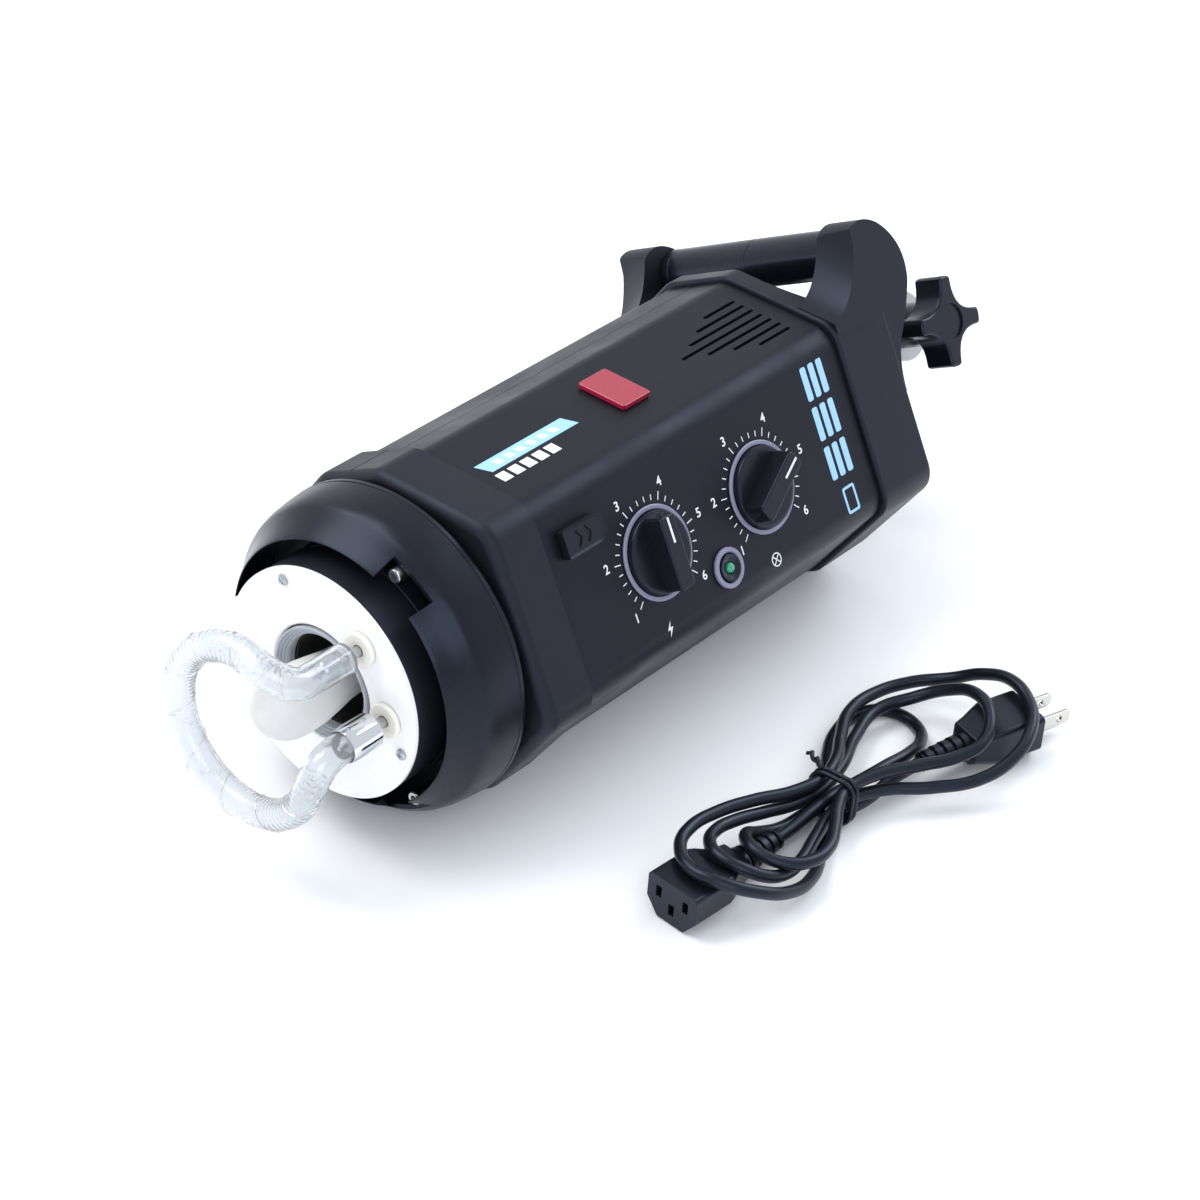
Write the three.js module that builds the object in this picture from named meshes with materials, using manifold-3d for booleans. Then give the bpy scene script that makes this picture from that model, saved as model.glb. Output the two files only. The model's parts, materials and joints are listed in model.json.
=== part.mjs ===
// Monolight strobe lying on its lower slanted face, with its mains cord beside it. Millimetres, +Z up.
// Inside the group "head" the lamp's own frame is used: x forward along the lamp axis, y out of the
// control panel, z towards the handle. The group turns that frame onto the slanted face it lies on.
import * as THREE from "three";
import { mergeVertices } from "three/addons/utils/BufferGeometryUtils.js";
import Module from "manifold-3d";

// Driving dimensions
const SLANT = THREE.MathUtils.degToRad(28); // the slanted faces' fall from the top face
const HALF = 70; // half width and half height of the bezel and the rear casting
const COVER_INSET = 2.5;
const WALL = 2.5;
const GAP = 0.3; // between pieces that touch
const PLATE_R = 50;
const BEZEL_FRONT = -46;
const BEZEL_REAR = -71;
const CASTING_FRONT = -266;
const CASTING_REAR = -300;
const RING_REAR = -42;
const DIAL_Z = -2.7;
const POWER_X = -129.8;
const LAMP_X = -197.8;
const DIAL_R = 17.4;
const BUTTON_X = -165.2;
const BUTTON_Z = -24.9;
const SLIDE_X = -92;
const SLIDE_Z = 21;
const TERMINALS = [15, -15]; // heights of the flash tube's two legs
const TERMINAL_Y = 32;
const TUBE_R = 6.5;
const TUBE_LOOP_R = 36;
const TUBE_LOOP_X = 42;
const NOTCH_ANGLES = [34, 154, 274];
const NOTCH_HALF = 10.5;
const BAR_X = -309;
const BAR_Z = 62;
const BAR_R = 11;
const EAR_INNER = 52;
const ROCKER_TILT = THREE.MathUtils.degToRad(8);
const PIVOT_X = -352;
const PIVOT_Z = 13;
const KNOB_R = 20.5;

const wasm = await Module();
wasm.setup();

// Materials
const paint = (color, roughness, metalness = 0) =>
  new THREE.MeshStandardMaterial({ color, roughness, metalness });
const M = {
  texturedBlack: paint(0x24262b, 0.6),
  paintedMetal: paint(0x1b1d22, 0.45, 0.2),
  gloss: paint(0x17181c, 0.3),
  white: paint(0xf4f4f2, 0.35),
  grey: paint(0x9aa0a8, 0.6),
  lilac: paint(0x7c8098, 0.5),
  steel: paint(0xb8bcc0, 0.3, 1),
  aluminium: paint(0xc4c7c8, 0.4, 1),
  chrome: paint(0xdfe3e8, 0.08, 1),
  glass: paint(0xf2f6f8, 0.05),
  red: paint(0xa00d24, 0.15),
  green: paint(0x0f7a55, 0.2),
  board: paint(0x1d5a34, 0.6),
  ceramic: paint(0xf1efe8, 0.5),
  brass: paint(0xc9a24a, 0.35, 1),
  sleeve: paint(0x23364f, 0.4),
  cord: paint(0x16181d, 0.45),
};

// A geometry as a manifold solid, with its faces turned outwards.
function solid(geometry) {
  const bare = geometry.clone();
  bare.deleteAttribute("normal");
  bare.deleteAttribute("uv");
  const merged = mergeVertices(bare, 1e-4);
  const index = merged.index.array;
  const make = (flip) => {
    const tris = [];
    for (let i = 0; i < index.length; i += 3) {
      const [a, b, c] = [index[i], index[i + 1], index[i + 2]];
      if (a === b || b === c || a === c) continue;
      tris.push(a, flip ? c : b, flip ? b : c);
    }
    return new wasm.Manifold(
      new wasm.Mesh({
        numProp: 3,
        vertProperties: new Float32Array(merged.attributes.position.array),
        triVerts: new Uint32Array(tris),
      }),
    );
  };
  const first = make(false);
  return first.volume() < 0 ? make(true) : first;
}

function geometryOf(manifold) {
  const mesh = manifold.getMesh();
  const geometry = new THREE.BufferGeometry();
  geometry.setAttribute("position", new THREE.BufferAttribute(mesh.vertProperties, 3));
  geometry.setIndex(new THREE.BufferAttribute(mesh.triVerts, 1));
  geometry.computeVertexNormals();
  return geometry;
}

// The same solid, turned or moved by a matrix.
const moved = (shape, matrix) => solid(geometryOf(shape).applyMatrix4(matrix));
const turnX = (degrees) => new THREE.Matrix4().makeRotationX(THREE.MathUtils.degToRad(degrees));
const join = (...solids) => solids.reduce((whole, s) => whole.add(s));
const cut = (whole, ...tools) => tools.reduce((rest, s) => rest.subtract(s), whole);

// Basic solids. Each takes its place in the lamp's frame.
const box = (x0, x1, y0, y1, z0, z1) =>
  solid(new THREE.BoxGeometry(x1 - x0, y1 - y0, z1 - z0)
    .translate((x0 + x1) / 2, (y0 + y1) / 2, (z0 + z1) / 2));

// A round bar from a to b along the axis "x", "y" or "z", centred at the other two coordinates.
function rod(axis, a, b, radius, c = [0, 0], sides = 24, endRadius = radius) {
  const g = new THREE.CylinderGeometry(endRadius, radius, b - a, sides);
  if (axis === "x") g.rotateZ(-Math.PI / 2).translate((a + b) / 2, c[0], c[1]);
  if (axis === "y") g.translate(c[0], (a + b) / 2, c[1]);
  if (axis === "z") g.rotateX(Math.PI / 2).translate(c[0], c[1], (a + b) / 2);
  return solid(g);
}

// A turned piece about an axis parallel to x or y. The profile is [along, radius] pairs; open
// profiles begin and end on the axis, and rings close on themselves.
function turned(profile, axis = "x", centre = [0, 0, 0], sides = 40) {
  const points = profile.map(([along, r]) => new THREE.Vector2(r, along));
  const g = new THREE.LatheGeometry(points, sides);
  if (axis === "x") g.rotateZ(-Math.PI / 2);
  return solid(g.translate(...centre));
}
const ring = (profile, ...rest) => turned([...profile, profile[0]], ...rest);

// A polygon with each corner softened by a curve that starts "soft" before the corner.
function softShape(points, soft) {
  const shape = new THREE.Shape();
  points.forEach(([px, py], i) => {
    const [ax, ay] = points[(i + points.length - 1) % points.length];
    const [bx, by] = points[(i + 1) % points.length];
    const r = Array.isArray(soft) ? soft[i] : soft;
    const la = Math.hypot(ax - px, ay - py);
    const lb = Math.hypot(bx - px, by - py);
    const start = [px + ((ax - px) * r) / la, py + ((ay - py) * r) / la];
    const end = [px + ((bx - px) * r) / lb, py + ((by - py) * r) / lb];
    if (i === 0) shape.moveTo(...start);
    else shape.lineTo(...start);
    shape.quadraticCurveTo(px, py, ...end);
  });
  shape.closePath();
  return shape;
}

// Turns an extrusion so that its shape lies in (y, z) and its depth runs along x.
const LENGTHWISE = new THREE.Matrix4().makeBasis(
  new THREE.Vector3(0, 1, 0), new THREE.Vector3(0, 0, 1), new THREE.Vector3(1, 0, 0));

// A shape drawn in (y, z), run from x0 to x1.
function alongX(shape, x0, x1, curveSegments = 3) {
  const g = new THREE.ExtrudeGeometry(shape, { depth: x1 - x0, bevelEnabled: false, curveSegments });
  return solid(g.applyMatrix4(LENGTHWISE).translate(x0, 0, 0));
}
// A shape drawn in (x, z), run from y0 to y1.
function alongY(shape, y0, y1, curveSegments = 4) {
  const g = new THREE.ExtrudeGeometry(shape, { depth: y1 - y0, bevelEnabled: false, curveSegments });
  return solid(g.rotateX(Math.PI / 2).translate(0, y1, 0));
}
// A shape drawn in (x, y), run from z0 to z1.
function alongZ(shape, z0, z1, curveSegments = 4) {
  const g = new THREE.ExtrudeGeometry(shape, { depth: z1 - z0, bevelEnabled: false, curveSegments });
  return solid(g.translate(0, 0, z0));
}

// The head's eight-sided section: flat top, bottom and sides, and four long slanted faces.
function section(half) {
  const top = half * Math.tan(SLANT / 2);
  const side = half * Math.tan(Math.PI / 4 - SLANT / 2);
  return softShape(
    [[top, half], [-top, half], [-half, side], [-half, -side],
      [-top, -half], [top, -half], [half, -side], [half, side]],
    [3, 3, 8, 8, 3, 3, 8, 8]);
}

const head = new THREE.Group();
head.rotation.x = SLANT;
const cordGroup = new THREE.Group();

function part(name, shape, material, group = head) {
  const mesh = new THREE.Mesh(geometryOf(shape), material);
  mesh.name = name;
  group.add(mesh);
  return mesh;
}

// Front: accessory ring, lamp drum, reflector plate
function mountRing() {
  let body = ring([
    [RING_REAR, 69.5], [-26, 68], [-21, 66.5], [-10, 59], [-9.5, 57.5],
    [-15, 57.5], [-16, 62], [-36, 62], [-36, 51], [RING_REAR, 51],
  ], "x", [0, 0, 0], 48);
  for (const a of NOTCH_ANGLES) {
    const half = THREE.MathUtils.degToRad(NOTCH_HALF);
    const wedge = new THREE.Shape();
    wedge.moveTo(52 * Math.cos(half), -52 * Math.sin(half));
    wedge.lineTo(66.5 * Math.cos(half), -66.5 * Math.sin(half));
    wedge.lineTo(66.5, 0);
    wedge.lineTo(66.5 * Math.cos(half), 66.5 * Math.sin(half));
    wedge.lineTo(52 * Math.cos(half), 52 * Math.sin(half));
    body = cut(body, moved(alongX(wedge, -19, 0), turnX(a)));
  }
  part("mount_ring", body, M.texturedBlack);
}

function ringStops() {
  NOTCH_ANGLES.forEach((a, i) => {
    const place = THREE.MathUtils.degToRad(a + 6);
    const c = [58.6 * Math.cos(place), 58.6 * Math.sin(place)];
    part(`ring_stop_screw_${i + 1}`,
      cut(rod("x", -35.7, -17, 3, c, 12), rod("x", -19.5, -16, 1.4, c, 6)), M.steel);
  });
}

function lampDrum() {
  part("lamp_drum", ring([
    [-2.4, 49.7], [-35, 50.4], [-41.5, 50.6], [-60, 50.6], [-60, 47.4], [-5, 46.6], [-2.4, 46.6],
  ]), M.paintedMetal);
  let plate = ring([[0, PLATE_R], [-2, PLATE_R], [-2, 25.3], [0, 25.3]]);
  for (const z of TERMINALS) plate = cut(plate, rod("x", -3, 1, 5.4, [TERMINAL_Y, z], 16));
  for (const a of [90, -42, 204]) {
    const t = THREE.MathUtils.degToRad(a);
    const c = [44.8 * Math.cos(t), 44.8 * Math.sin(t)];
    plate = cut(plate, rod("x", -3, 1, 1.6, c, 10));
  }
  part("reflector_plate", plate, M.white);
  [90, -42, 204].forEach((a, i) => {
    const t = THREE.MathUtils.degToRad(a);
    const c = [44.8 * Math.cos(t), 44.8 * Math.sin(t)];
    part(`plate_screw_${i + 1}`,
      join(rod("x", GAP, 1.5, 2.4, c, 12), rod("x", -8, 0.5, 1.3, c, 8)), M.steel);
  });
  part("lamp_seal_ring", ring([
    [0.6, 25], [0.6, 24], [-3, 20.5], [-6, 20.5], [-6, 25],
  ], "x", [0, 0, 0], 32), M.grey);
  part("lamp_cup", ring([
    [-6.4, 24.6], [-6.4, 19.5], [-30, 17], [-52, 17], [-52, 19], [-30, 19.5], [-10, 24.6],
  ], "x", [0, 0, 0], 32), M.steel);
}

// Modelling lamp and its screw socket, inside the cup
function modellingLamp() {
  part("modelling_lamp", turned([
    [34, 0], [33, 5], [30, 9.5], [25, 12.6], [19, 14], [8, 14], [0, 12.8], [-10, 11], [-20, 10.6],
    [-21, 11.6], [-42, 12.6], [-46, 8], [-48, 4], [-48, 0],
  ], "x", [0, 0, 0], 28), M.glass);
  part("lamp_socket", turned([
    [-26, 13], [-26, 16.6], [-56, 16.6], [-56, 0], [-50, 0], [-50, 13], [-26, 13],
  ], "x", [0, 0, 0], 24), M.ceramic);
}

// Flash tube: a glass loop in front of the plate on two legs
function flashTube() {
  const at = (deg) => {
    const t = THREE.MathUtils.degToRad(deg);
    return new THREE.Vector3(TUBE_LOOP_X, TUBE_LOOP_R * Math.cos(t), TUBE_LOOP_R * Math.sin(t));
  };
  const leg = (z) => [9, 18, 26].map((x) => new THREE.Vector3(x, TERMINAL_Y, z));
  const bend = (z) => [new THREE.Vector3(35, TERMINAL_Y, z * 1.08)];
  const loop = [];
  for (let deg = 42; deg <= 318; deg += 23) loop.push(at(deg));
  const path = new THREE.CatmullRomCurve3(
    [...leg(TERMINALS[0]), ...bend(TERMINALS[0]), ...loop, ...bend(TERMINALS[1]),
      ...leg(TERMINALS[1]).reverse()],
    false, "centripetal");
  const glass = new THREE.ExtrudeGeometry(circle(TUBE_R, 10), {
    steps: 46, bevelEnabled: false, extrudePath: path,
  });
  part("flash_tube", solid(glass), M.glass);
  TERMINALS.forEach((z, i) => {
    const end = i === 0 ? "upper" : "lower";
    const c = [TERMINAL_Y, z];
    part(`tube_pin_${end}`, rod("x", -24, 8.7, 2.2, c, 12), M.aluminium);
    part(`tube_socket_${end}`, ring([
      [-22, 2.6], [-22, 6], [-5, 6], [-5, 5.1], [0.4, 5.1], [0.4, 7.4], [2.6, 7.4], [2.6, 2.6],
    ], "x", [0, ...c], 20), M.ceramic);
  });
  part("trigger_sleeve", ring([
    [10, TUBE_R + GAP], [10, TUBE_R + 0.9], [24, TUBE_R + 0.9], [24, TUBE_R + GAP],
  ], "x", [0, TERMINAL_Y, TERMINALS[1]], 20), M.chrome);
}

// A regular outline, as a Shape
function circle(radius, sides) {
  const points = [];
  for (let i = 0; i < sides; i++) {
    const t = (2 * Math.PI * i) / sides;
    points.push(new THREE.Vector2(radius * Math.cos(t), radius * Math.sin(t)));
  }
  return new THREE.Shape(points);
}

// Bezel and covers
function bezel() {
  const edge = 5; // the rounding of the front edge
  const g = new THREE.ExtrudeGeometry(section(HALF - edge), {
    depth: 25, bevelEnabled: true, bevelThickness: edge, bevelSize: edge, bevelSegments: 3, curveSegments: 3,
  });
  const block = solid(g.applyMatrix4(LENGTHWISE).translate(BEZEL_FRONT - 25 - edge, 0, 0));
  const inner = alongX(section(HALF - 5.4), BEZEL_REAR - 1, -56);
  part("front_bezel", cut(block, box(-100, BEZEL_REAR, -90, 90, -90, 90), inner,
    rod("x", -80, -40, 61, [0, 0], 40)), M.texturedBlack);
  part("lock_collar", ring([
    [RING_REAR - GAP, 60], [RING_REAR - GAP, 66], [-45.4, 66], [-45.4, 60.6], [-52, 60.6], [-52, 52],
    [RING_REAR - GAP, 52],
  ]), M.paintedMetal);
}

function covers() {
  const rearEnd = CASTING_FRONT + GAP;
  const frontEnd = BEZEL_REAR - GAP;
  const half = HALF - COVER_INSET;
  const tube = cut(alongX(section(half), rearEnd, frontEnd),
    alongX(section(half - WALL), rearEnd - 1, frontEnd + 1));
  let left = tube.intersect(box(rearEnd - 1, frontEnd + 1, 0.2, 90, -90, 90));
  let right = tube.intersect(box(rearEnd - 1, frontEnd + 1, -90, -0.2, -90, 90));
  const slots = ventSlots();
  left = cut(left, ...slots,
    rod("y", 60, 75, 4.2, [POWER_X, DIAL_Z], 16),
    rod("y", 60, 75, 4.2, [LAMP_X, DIAL_Z], 16),
    rod("y", 60, 75, 6.3, [BUTTON_X, BUTTON_Z], 20),
    box(SLIDE_X - 11, SLIDE_X + 11, 60, 75, SLIDE_Z - 2.2, SLIDE_Z + 2.2),
    slantBox(-167, -156, -1, 18, 60, 75));
  const mirrored = new THREE.Matrix4().makeScale(1, -1, 1);
  right = cut(right, ...slots.map((s) => moved(s, mirrored)));
  part("left_cover", left, M.texturedBlack);
  part("right_cover", right, M.texturedBlack);
}

// A box that lies on the upper slanted face: x range, range across the face, and height above the axis
function slantBox(x0, x1, t0, t1, h0, h1) {
  return moved(box(x0, x1, t0, t1, h0, h1), new THREE.Matrix4().makeRotationX(-SLANT));
}

function ventSlots() {
  const slots = [];
  for (let i = 0; i < 7; i++) {
    const length = 54 - 11 * Math.abs(i - 3);
    const across = -3.5 + 5 * i;
    slots.push(slantBox(-256, -256 + length, across - 1.1, across + 1.1, 55, 75));
  }
  return slots;
}

// Controls on the panel
const FACE = HALF - COVER_INSET;

// A dial turns with its shaft. It is made upright about its own axis, then turned to its setting.
function dial(name, x, setting) {
  part(`${name}_ring`, ring([
    [FACE + GAP, 17.9], [FACE + 1.1, 17.9], [FACE + 1.1, 19.7], [FACE + GAP, 19.7],
  ], "y", [x, 0, DIAL_Z], 28), M.lilac);
  const disc = rod("y", GAP, 3.2, DIAL_R, [0, 0], 28);
  const grip = rod("y", 1, 12, DIAL_R - 0.2, [0, 0], 28).intersect(box(-5.5, 5.5, 0, 14, -20, 20));
  const shaft = rod("y", -15, 2, 3, [0, 0], 16);
  const knob = part(`${name}_dial`, join(disc, grip, shaft), M.gloss);
  knob.position.set(x, FACE, DIAL_Z);
  knob.rotation.y = -THREE.MathUtils.degToRad(setting);
  part(`${name}_pot`, ring([
    [FACE - 4, 3.4], [FACE - 4, 10], [FACE - 14, 10], [FACE - 14, 3.4],
  ], "y", [x, 0, DIAL_Z], 20), M.steel);
}

function testButton() {
  const c = [BUTTON_X, BUTTON_Z];
  part("button_ring", ring([
    [FACE + GAP, 6.4], [FACE + 1.6, 6.4], [FACE + 1.6, 8.6], [FACE + GAP, 8.6],
  ], "y", [BUTTON_X, 0, BUTTON_Z], 20), M.lilac);
  part("test_button", cut(rod("y", FACE - 6, FACE + 2.2, 5.9, c, 24), rod("y", FACE - 2, FACE + 4, 2.6, c, 14)),
    M.gloss);
  part("ready_lamp", rod("y", FACE - 1.6, FACE + 2.8, 2.3, c, 14), M.green);
}

function releaseSlide() {
  const outline = softShape([
    [SLIDE_X - 13, SLIDE_Z + 6], [SLIDE_X - 13, SLIDE_Z - 6], [SLIDE_X + 11, SLIDE_Z - 6],
    [SLIDE_X + 11, SLIDE_Z + 6]], [5.8, 5.8, 1, 1]);
  const neck = box(SLIDE_X - 4, SLIDE_X + 4, FACE - 5, FACE + 1, SLIDE_Z - 1.8, SLIDE_Z + 1.8);
  const foot = box(SLIDE_X - 4, SLIDE_X + 18, FACE - 7.5, FACE - 3.5, SLIDE_Z - 1.8, SLIDE_Z + 1.8);
  part("release_slide", join(alongY(outline, FACE + GAP, FACE + 4.2), neck, foot), M.texturedBlack);
}

function slaveWindow() {
    part("slave_window", join(
    slantBox(-170.5, -153.5, -4.5, 20.5, FACE + GAP, FACE + 2.6),
    slantBox(-166.6, -156.4, -0.6, 17.6, FACE - 4, FACE + 1)), M.red);
}

// Rear casting with the two handle ears
function earOutline() {
  const shape = new THREE.Shape();
  shape.moveTo(CASTING_FRONT - 2, 30);
  shape.lineTo(CASTING_FRONT - 2, 56);
  shape.quadraticCurveTo(-284, 62, -291, 74);
  shape.quadraticCurveTo(-300, 82, -312, 73);
  shape.quadraticCurveTo(-326, 60, -321, 44);
  shape.quadraticCurveTo(-315, 32, -306, 22);
  shape.quadraticCurveTo(-300, 12, CASTING_REAR, 0);
  shape.lineTo(-285, 0);
  shape.closePath();
  return shape;
}

function rearCasting() {
  const shell = alongX(section(HALF), CASTING_REAR, CASTING_FRONT);
  const scoop = new THREE.Shape();
  scoop.moveTo(-275, 90);
  scoop.lineTo(-275, 63);
  scoop.quadraticCurveTo(-278, 42, -296, 33);
  scoop.lineTo(-345, 31);
  scoop.lineTo(-345, 90);
  const ears = [EAR_INNER, -68].map((y) => alongY(earOutline(), y, y + 16, 4));
  const body = join(cut(shell, alongY(scoop, -EAR_INNER, EAR_INNER)), ...ears);
  part("rear_casting", cut(body,
    alongX(section(HALF - 5), -271, CASTING_FRONT + 1),
    alongX(softShape([[-42.8, -52], [42.8, -52], [58, -43.9], [58, 22], [-58, 22], [-58, -43.9]], 0.5), -296, -270),
    box(-301, -295, -50, 50, -50, -10),
    rod("y", -59, 59, 5, [BAR_X, BAR_Z], 16)), M.texturedBlack);
  part("handle_bar", join(
    rod("y", -EAR_INNER + GAP, EAR_INNER - GAP, BAR_R, [BAR_X, BAR_Z], 24),
    rod("y", -58.5, 58.5, 4.6, [BAR_X, BAR_Z], 12)), M.gloss);
}

function rearPanel() {
  const plate = box(-299.6, -297.6, -49.7, 49.7, -49.7, -10.3);
  part("rear_panel", cut(plate,
    box(-301, -296, -45, -15, -41, -19),
    box(-301, -296, -5, 15, -37, -23),
    rod("x", -301, -296, 6.4, [28, -30], 20),
    rod("x", -301, -296, 4.2, [42, -30], 16)), M.paintedMetal);
  part("mains_inlet", cut(join(
    box(-302.4, -300, -47, -13, -43, -17), box(-300.5, -280, -44.6, -15.4, -40.6, -19.4)),
  box(-303, -285, -42.5, -17.5, -38, -22)), M.gloss);
  part("switch_frame", cut(join(
    box(-301.6, -300, -7, 17, -39, -21), box(-300.5, -286, -4.6, 14.6, -36.6, -23.4)),
  box(-302, -290, -2.6, 12.6, -35, -25)), M.gloss);
  const rocker = part("power_rocker", rod("z", -4.4, 4.4, 10.4, [0, 0], 24)
    .intersect(box(-8.5, 4, -6.6, 6.6, -5, 5)), M.gloss);
  rocker.position.set(-296, 5, -30);
  rocker.rotation.z = -ROCKER_TILT;
  part("fuse_cap", join(rod("x", -306, -300, 7.6, [28, -30], 20), rod("x", -300.5, -280, 6, [28, -30], 16)), M.gloss);
  part("sync_socket", cut(join(rod("x", -302.5, -300, 5.6, [42, -30], 16), rod("x", -300.5, -284, 3.9, [42, -30], 16)),
    rod("x", -303, -288, 1.8, [42, -30], 10)), M.steel);
}

// Tilt bracket: fixed lugs, swinging stand socket, clamp bolt and star knob
function tiltBracket() {
  const lug = softShape([
    [-305, PIVOT_Z + 13], [-305, PIVOT_Z - 13], [PIVOT_X - 13, PIVOT_Z - 13], [PIVOT_X - 13, PIVOT_Z + 13],
  ], [0.5, 0.5, 11, 11]);
  part("bracket_lugs", cut(join(
    box(CASTING_REAR - 6.3, CASTING_REAR - GAP, -34, 34, -5, 30),
    alongY(lug, 21.5, 30.5), alongY(lug, -30.5, -21.5)),
  rod("y", -40, 40, 4.3, [PIVOT_X, PIVOT_Z], 20)), M.paintedMetal);
  const swing = join(
    rod("y", -21, 21, 13, [PIVOT_X, PIVOT_Z], 24),
    rod("z", -50, PIVOT_Z, 13, [PIVOT_X, 0], 24));
  part("stand_socket", cut(swing,
    rod("y", -40, 40, 4.3, [PIVOT_X, PIVOT_Z], 20),
    rod("z", -51, -16, 8.1, [PIVOT_X, 0], 24),
    rod("y", -14, -7, 3.4, [PIVOT_X, -34], 12),
    rod("x", PIVOT_X - 20, PIVOT_X + 20, 4.2, [0, -6.5], 16)), M.paintedMetal);
  part("stand_screw", join(
    rod("y", -24, -8.6, 3, [PIVOT_X, -34], 12),
    rod("y", -36, -22, 9, [PIVOT_X, -34], 6)), M.gloss);
  part("tilt_bolt", join(
    rod("y", -36.5, 44, 4, [PIVOT_X, PIVOT_Z], 16), rod("y", -38.5, -33.2, 7.5, [PIVOT_X, PIVOT_Z], 6)), M.steel);
  part("friction_washer", ring([[30.8, 4.4], [30.8, 16], [32.8, 16], [32.8, 4.4]],
    "y", [PIVOT_X, 0, PIVOT_Z], 28), M.aluminium);
  starKnob();
}

function starKnob() {
  const star = new THREE.Shape();
  for (let i = 0; i < 4; i++) {
    const tip = THREE.MathUtils.degToRad(90 * i + 12);
    const polar = (r, a) => [PIVOT_X + r * Math.cos(a), PIVOT_Z + r * Math.sin(a)];
    const before = polar(KNOB_R, tip - 0.19);
    const after = polar(KNOB_R, tip + 0.19);
    if (i === 0) star.moveTo(...before);
    star.lineTo(...after);
    star.quadraticCurveTo(...polar(4.5, tip + Math.PI / 4), ...polar(KNOB_R, tip + Math.PI / 2 - 0.19));
  }
  part("star_knob", cut(join(
    alongY(star, 45, 60, 6), rod("y", 33.2, 46, 10, [PIVOT_X, PIVOT_Z], 20)),
  rod("y", 59, 61, 9, [PIVOT_X, PIVOT_Z], 20),
  rod("y", 30, 48, 4.3, [PIVOT_X, PIVOT_Z], 16)), M.gloss);
}

// Inside the covers
function internals() {
  part("chassis_tray", box(-262, -76, -15, 15, -64, -62), M.aluminium);
  [-22, 22].forEach((z, i) =>
    part(`flash_capacitor_${i + 1}`, rod("x", -250, -150, 19, [-36, z], 24), M.sleeve));
  part("main_board", box(-240, -90, 44, 45.6, -45, 35), M.board);
  part("trigger_transformer", box(-100, -76, -22, 8, 20, 44), M.sleeve);
}

// Mains cord: connector, hank with its tie, and plug, lying on the surface beside the lamp
const FLOOR = -HALF; // the surface's height under the lamp axis
const CONNECTOR = { at: [-50.6, 141.5], turn: -4 };
const PLUG = { at: [-214, 165], turn: -17 };
const TIE_X = -149;
const HANK_HEIGHT = 26;
const HANK_OUTLINE = [
  [-62, 150], [-70, 172], [-112, 169], [-150, 157], [-176, 182], [-207, 191], [-238, 191],
  [-257, 172], [-257, 136], [-236, 113], [-190, 119], [-150, 135], [-108, 127], [-70, 126],
];

const lying = ({ at, turn }) => new THREE.Matrix4()
  .makeRotationZ(THREE.MathUtils.degToRad(turn)).setPosition(at[0], at[1], FLOOR);

function cordPiece(name, shape, place, material) {
  const mesh = part(name, shape, material, cordGroup);
  mesh.position.set(place.at[0], place.at[1], FLOOR);
  mesh.rotation.z = THREE.MathUtils.degToRad(place.turn);
}

function mainsConnector() {
  const outline = softShape([[-13, 20], [-13, 8], [-7, 0.6], [7, 0.6], [13, 8], [13, 20]], [2, 1, 1, 1, 1, 2]);
  const contacts = [[-7, 13], [7, 13], [0, 7.5]]
    .map(([y, z]) => box(-8, 1, y - 1.4, y + 1.4, z - 2.6, z + 2.6));
  const relief = turned([[-37, 0], [-37, 7], [-42, 7], [-62, 3.6], [-62, 0]], "x", [0, 0, 10], 16);
  cordPiece("mains_connector",
    cut(join(alongX(outline, -22, 0, 2), rod("x", -38, -21, 9, [0, 10], 16), relief), ...contacts),
    CONNECTOR, M.cord);
}

function mainsPlug() {
  const body = softShape([[-12, 22], [-12, 6], [-6, 0.5], [6, 0.5], [12, 6], [12, 22]], 2);
  const relief = turned([[-1, 0], [-1, 6.5], [3, 6.5], [22, 3.6], [22, 0]], "x", [0, 0, 11], 16);
  cordPiece("mains_plug",
    join(alongX(body, -34, -14, 2), rod("x", -15, 0, 7.5, [0, 11], 16, 10), relief), PLUG, M.cord);
  for (const [name, y] of [["line", -6.3], ["neutral", 6.3]])
    cordPiece(`plug_blade_${name}`, box(-52, -34.3, y - 0.8, y + 0.8, 10.5, 17), PLUG, M.brass);
  cordPiece("plug_pin_earth", rod("x", -54, -34.3, 2.4, [0, 6], 12), PLUG, M.brass);
}

// The bound coils as one closed outline, narrowed where the tie holds them.
function mainsHank() {
  const neck = (grow) => softShape([
    [135.5 - grow, 2.8 - grow], [157 + grow, 2.8 - grow],
    [157 + grow, 23 + grow], [135.5 - grow, 23 + grow],
  ].map(([y, z]) => [y, z + FLOOR]), 4);
  const waist = cut(box(TIE_X - 3.5, TIE_X + 3.5, 100, 200, FLOOR - 5, FLOOR + 40),
    alongX(neck(0), TIE_X - 5, TIE_X + 5));
  const clearOfConnector = moved(box(-62.6, 6, -14, 14, -5, 40), lying(CONNECTOR));
  const clearOfPlug = moved(box(-60, 22.4, -13, 13, -5, 40), lying(PLUG));
  const coils = alongZ(softShape(HANK_OUTLINE, 8), FLOOR + 0.2, FLOOR + HANK_HEIGHT, 3);
  part("mains_cord", cut(coils, waist, clearOfConnector, clearOfPlug), M.cord, cordGroup);
  part("cord_tie", cut(alongX(neck(2.5), TIE_X - 1.5, TIE_X + 1.5), alongX(neck(0.3), TIE_X - 3, TIE_X + 3)),
    M.gloss, cordGroup);
}

mountRing();
ringStops();
lampDrum();
modellingLamp();
flashTube();
bezel();
covers();
dial("power", POWER_X, 0);
dial("lamp", LAMP_X, 60);
testButton();
releaseSlide();
slaveWindow();
rearCasting();
rearPanel();
tiltBracket();
internals();
mainsConnector();
mainsHank();
mainsPlug();

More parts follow.
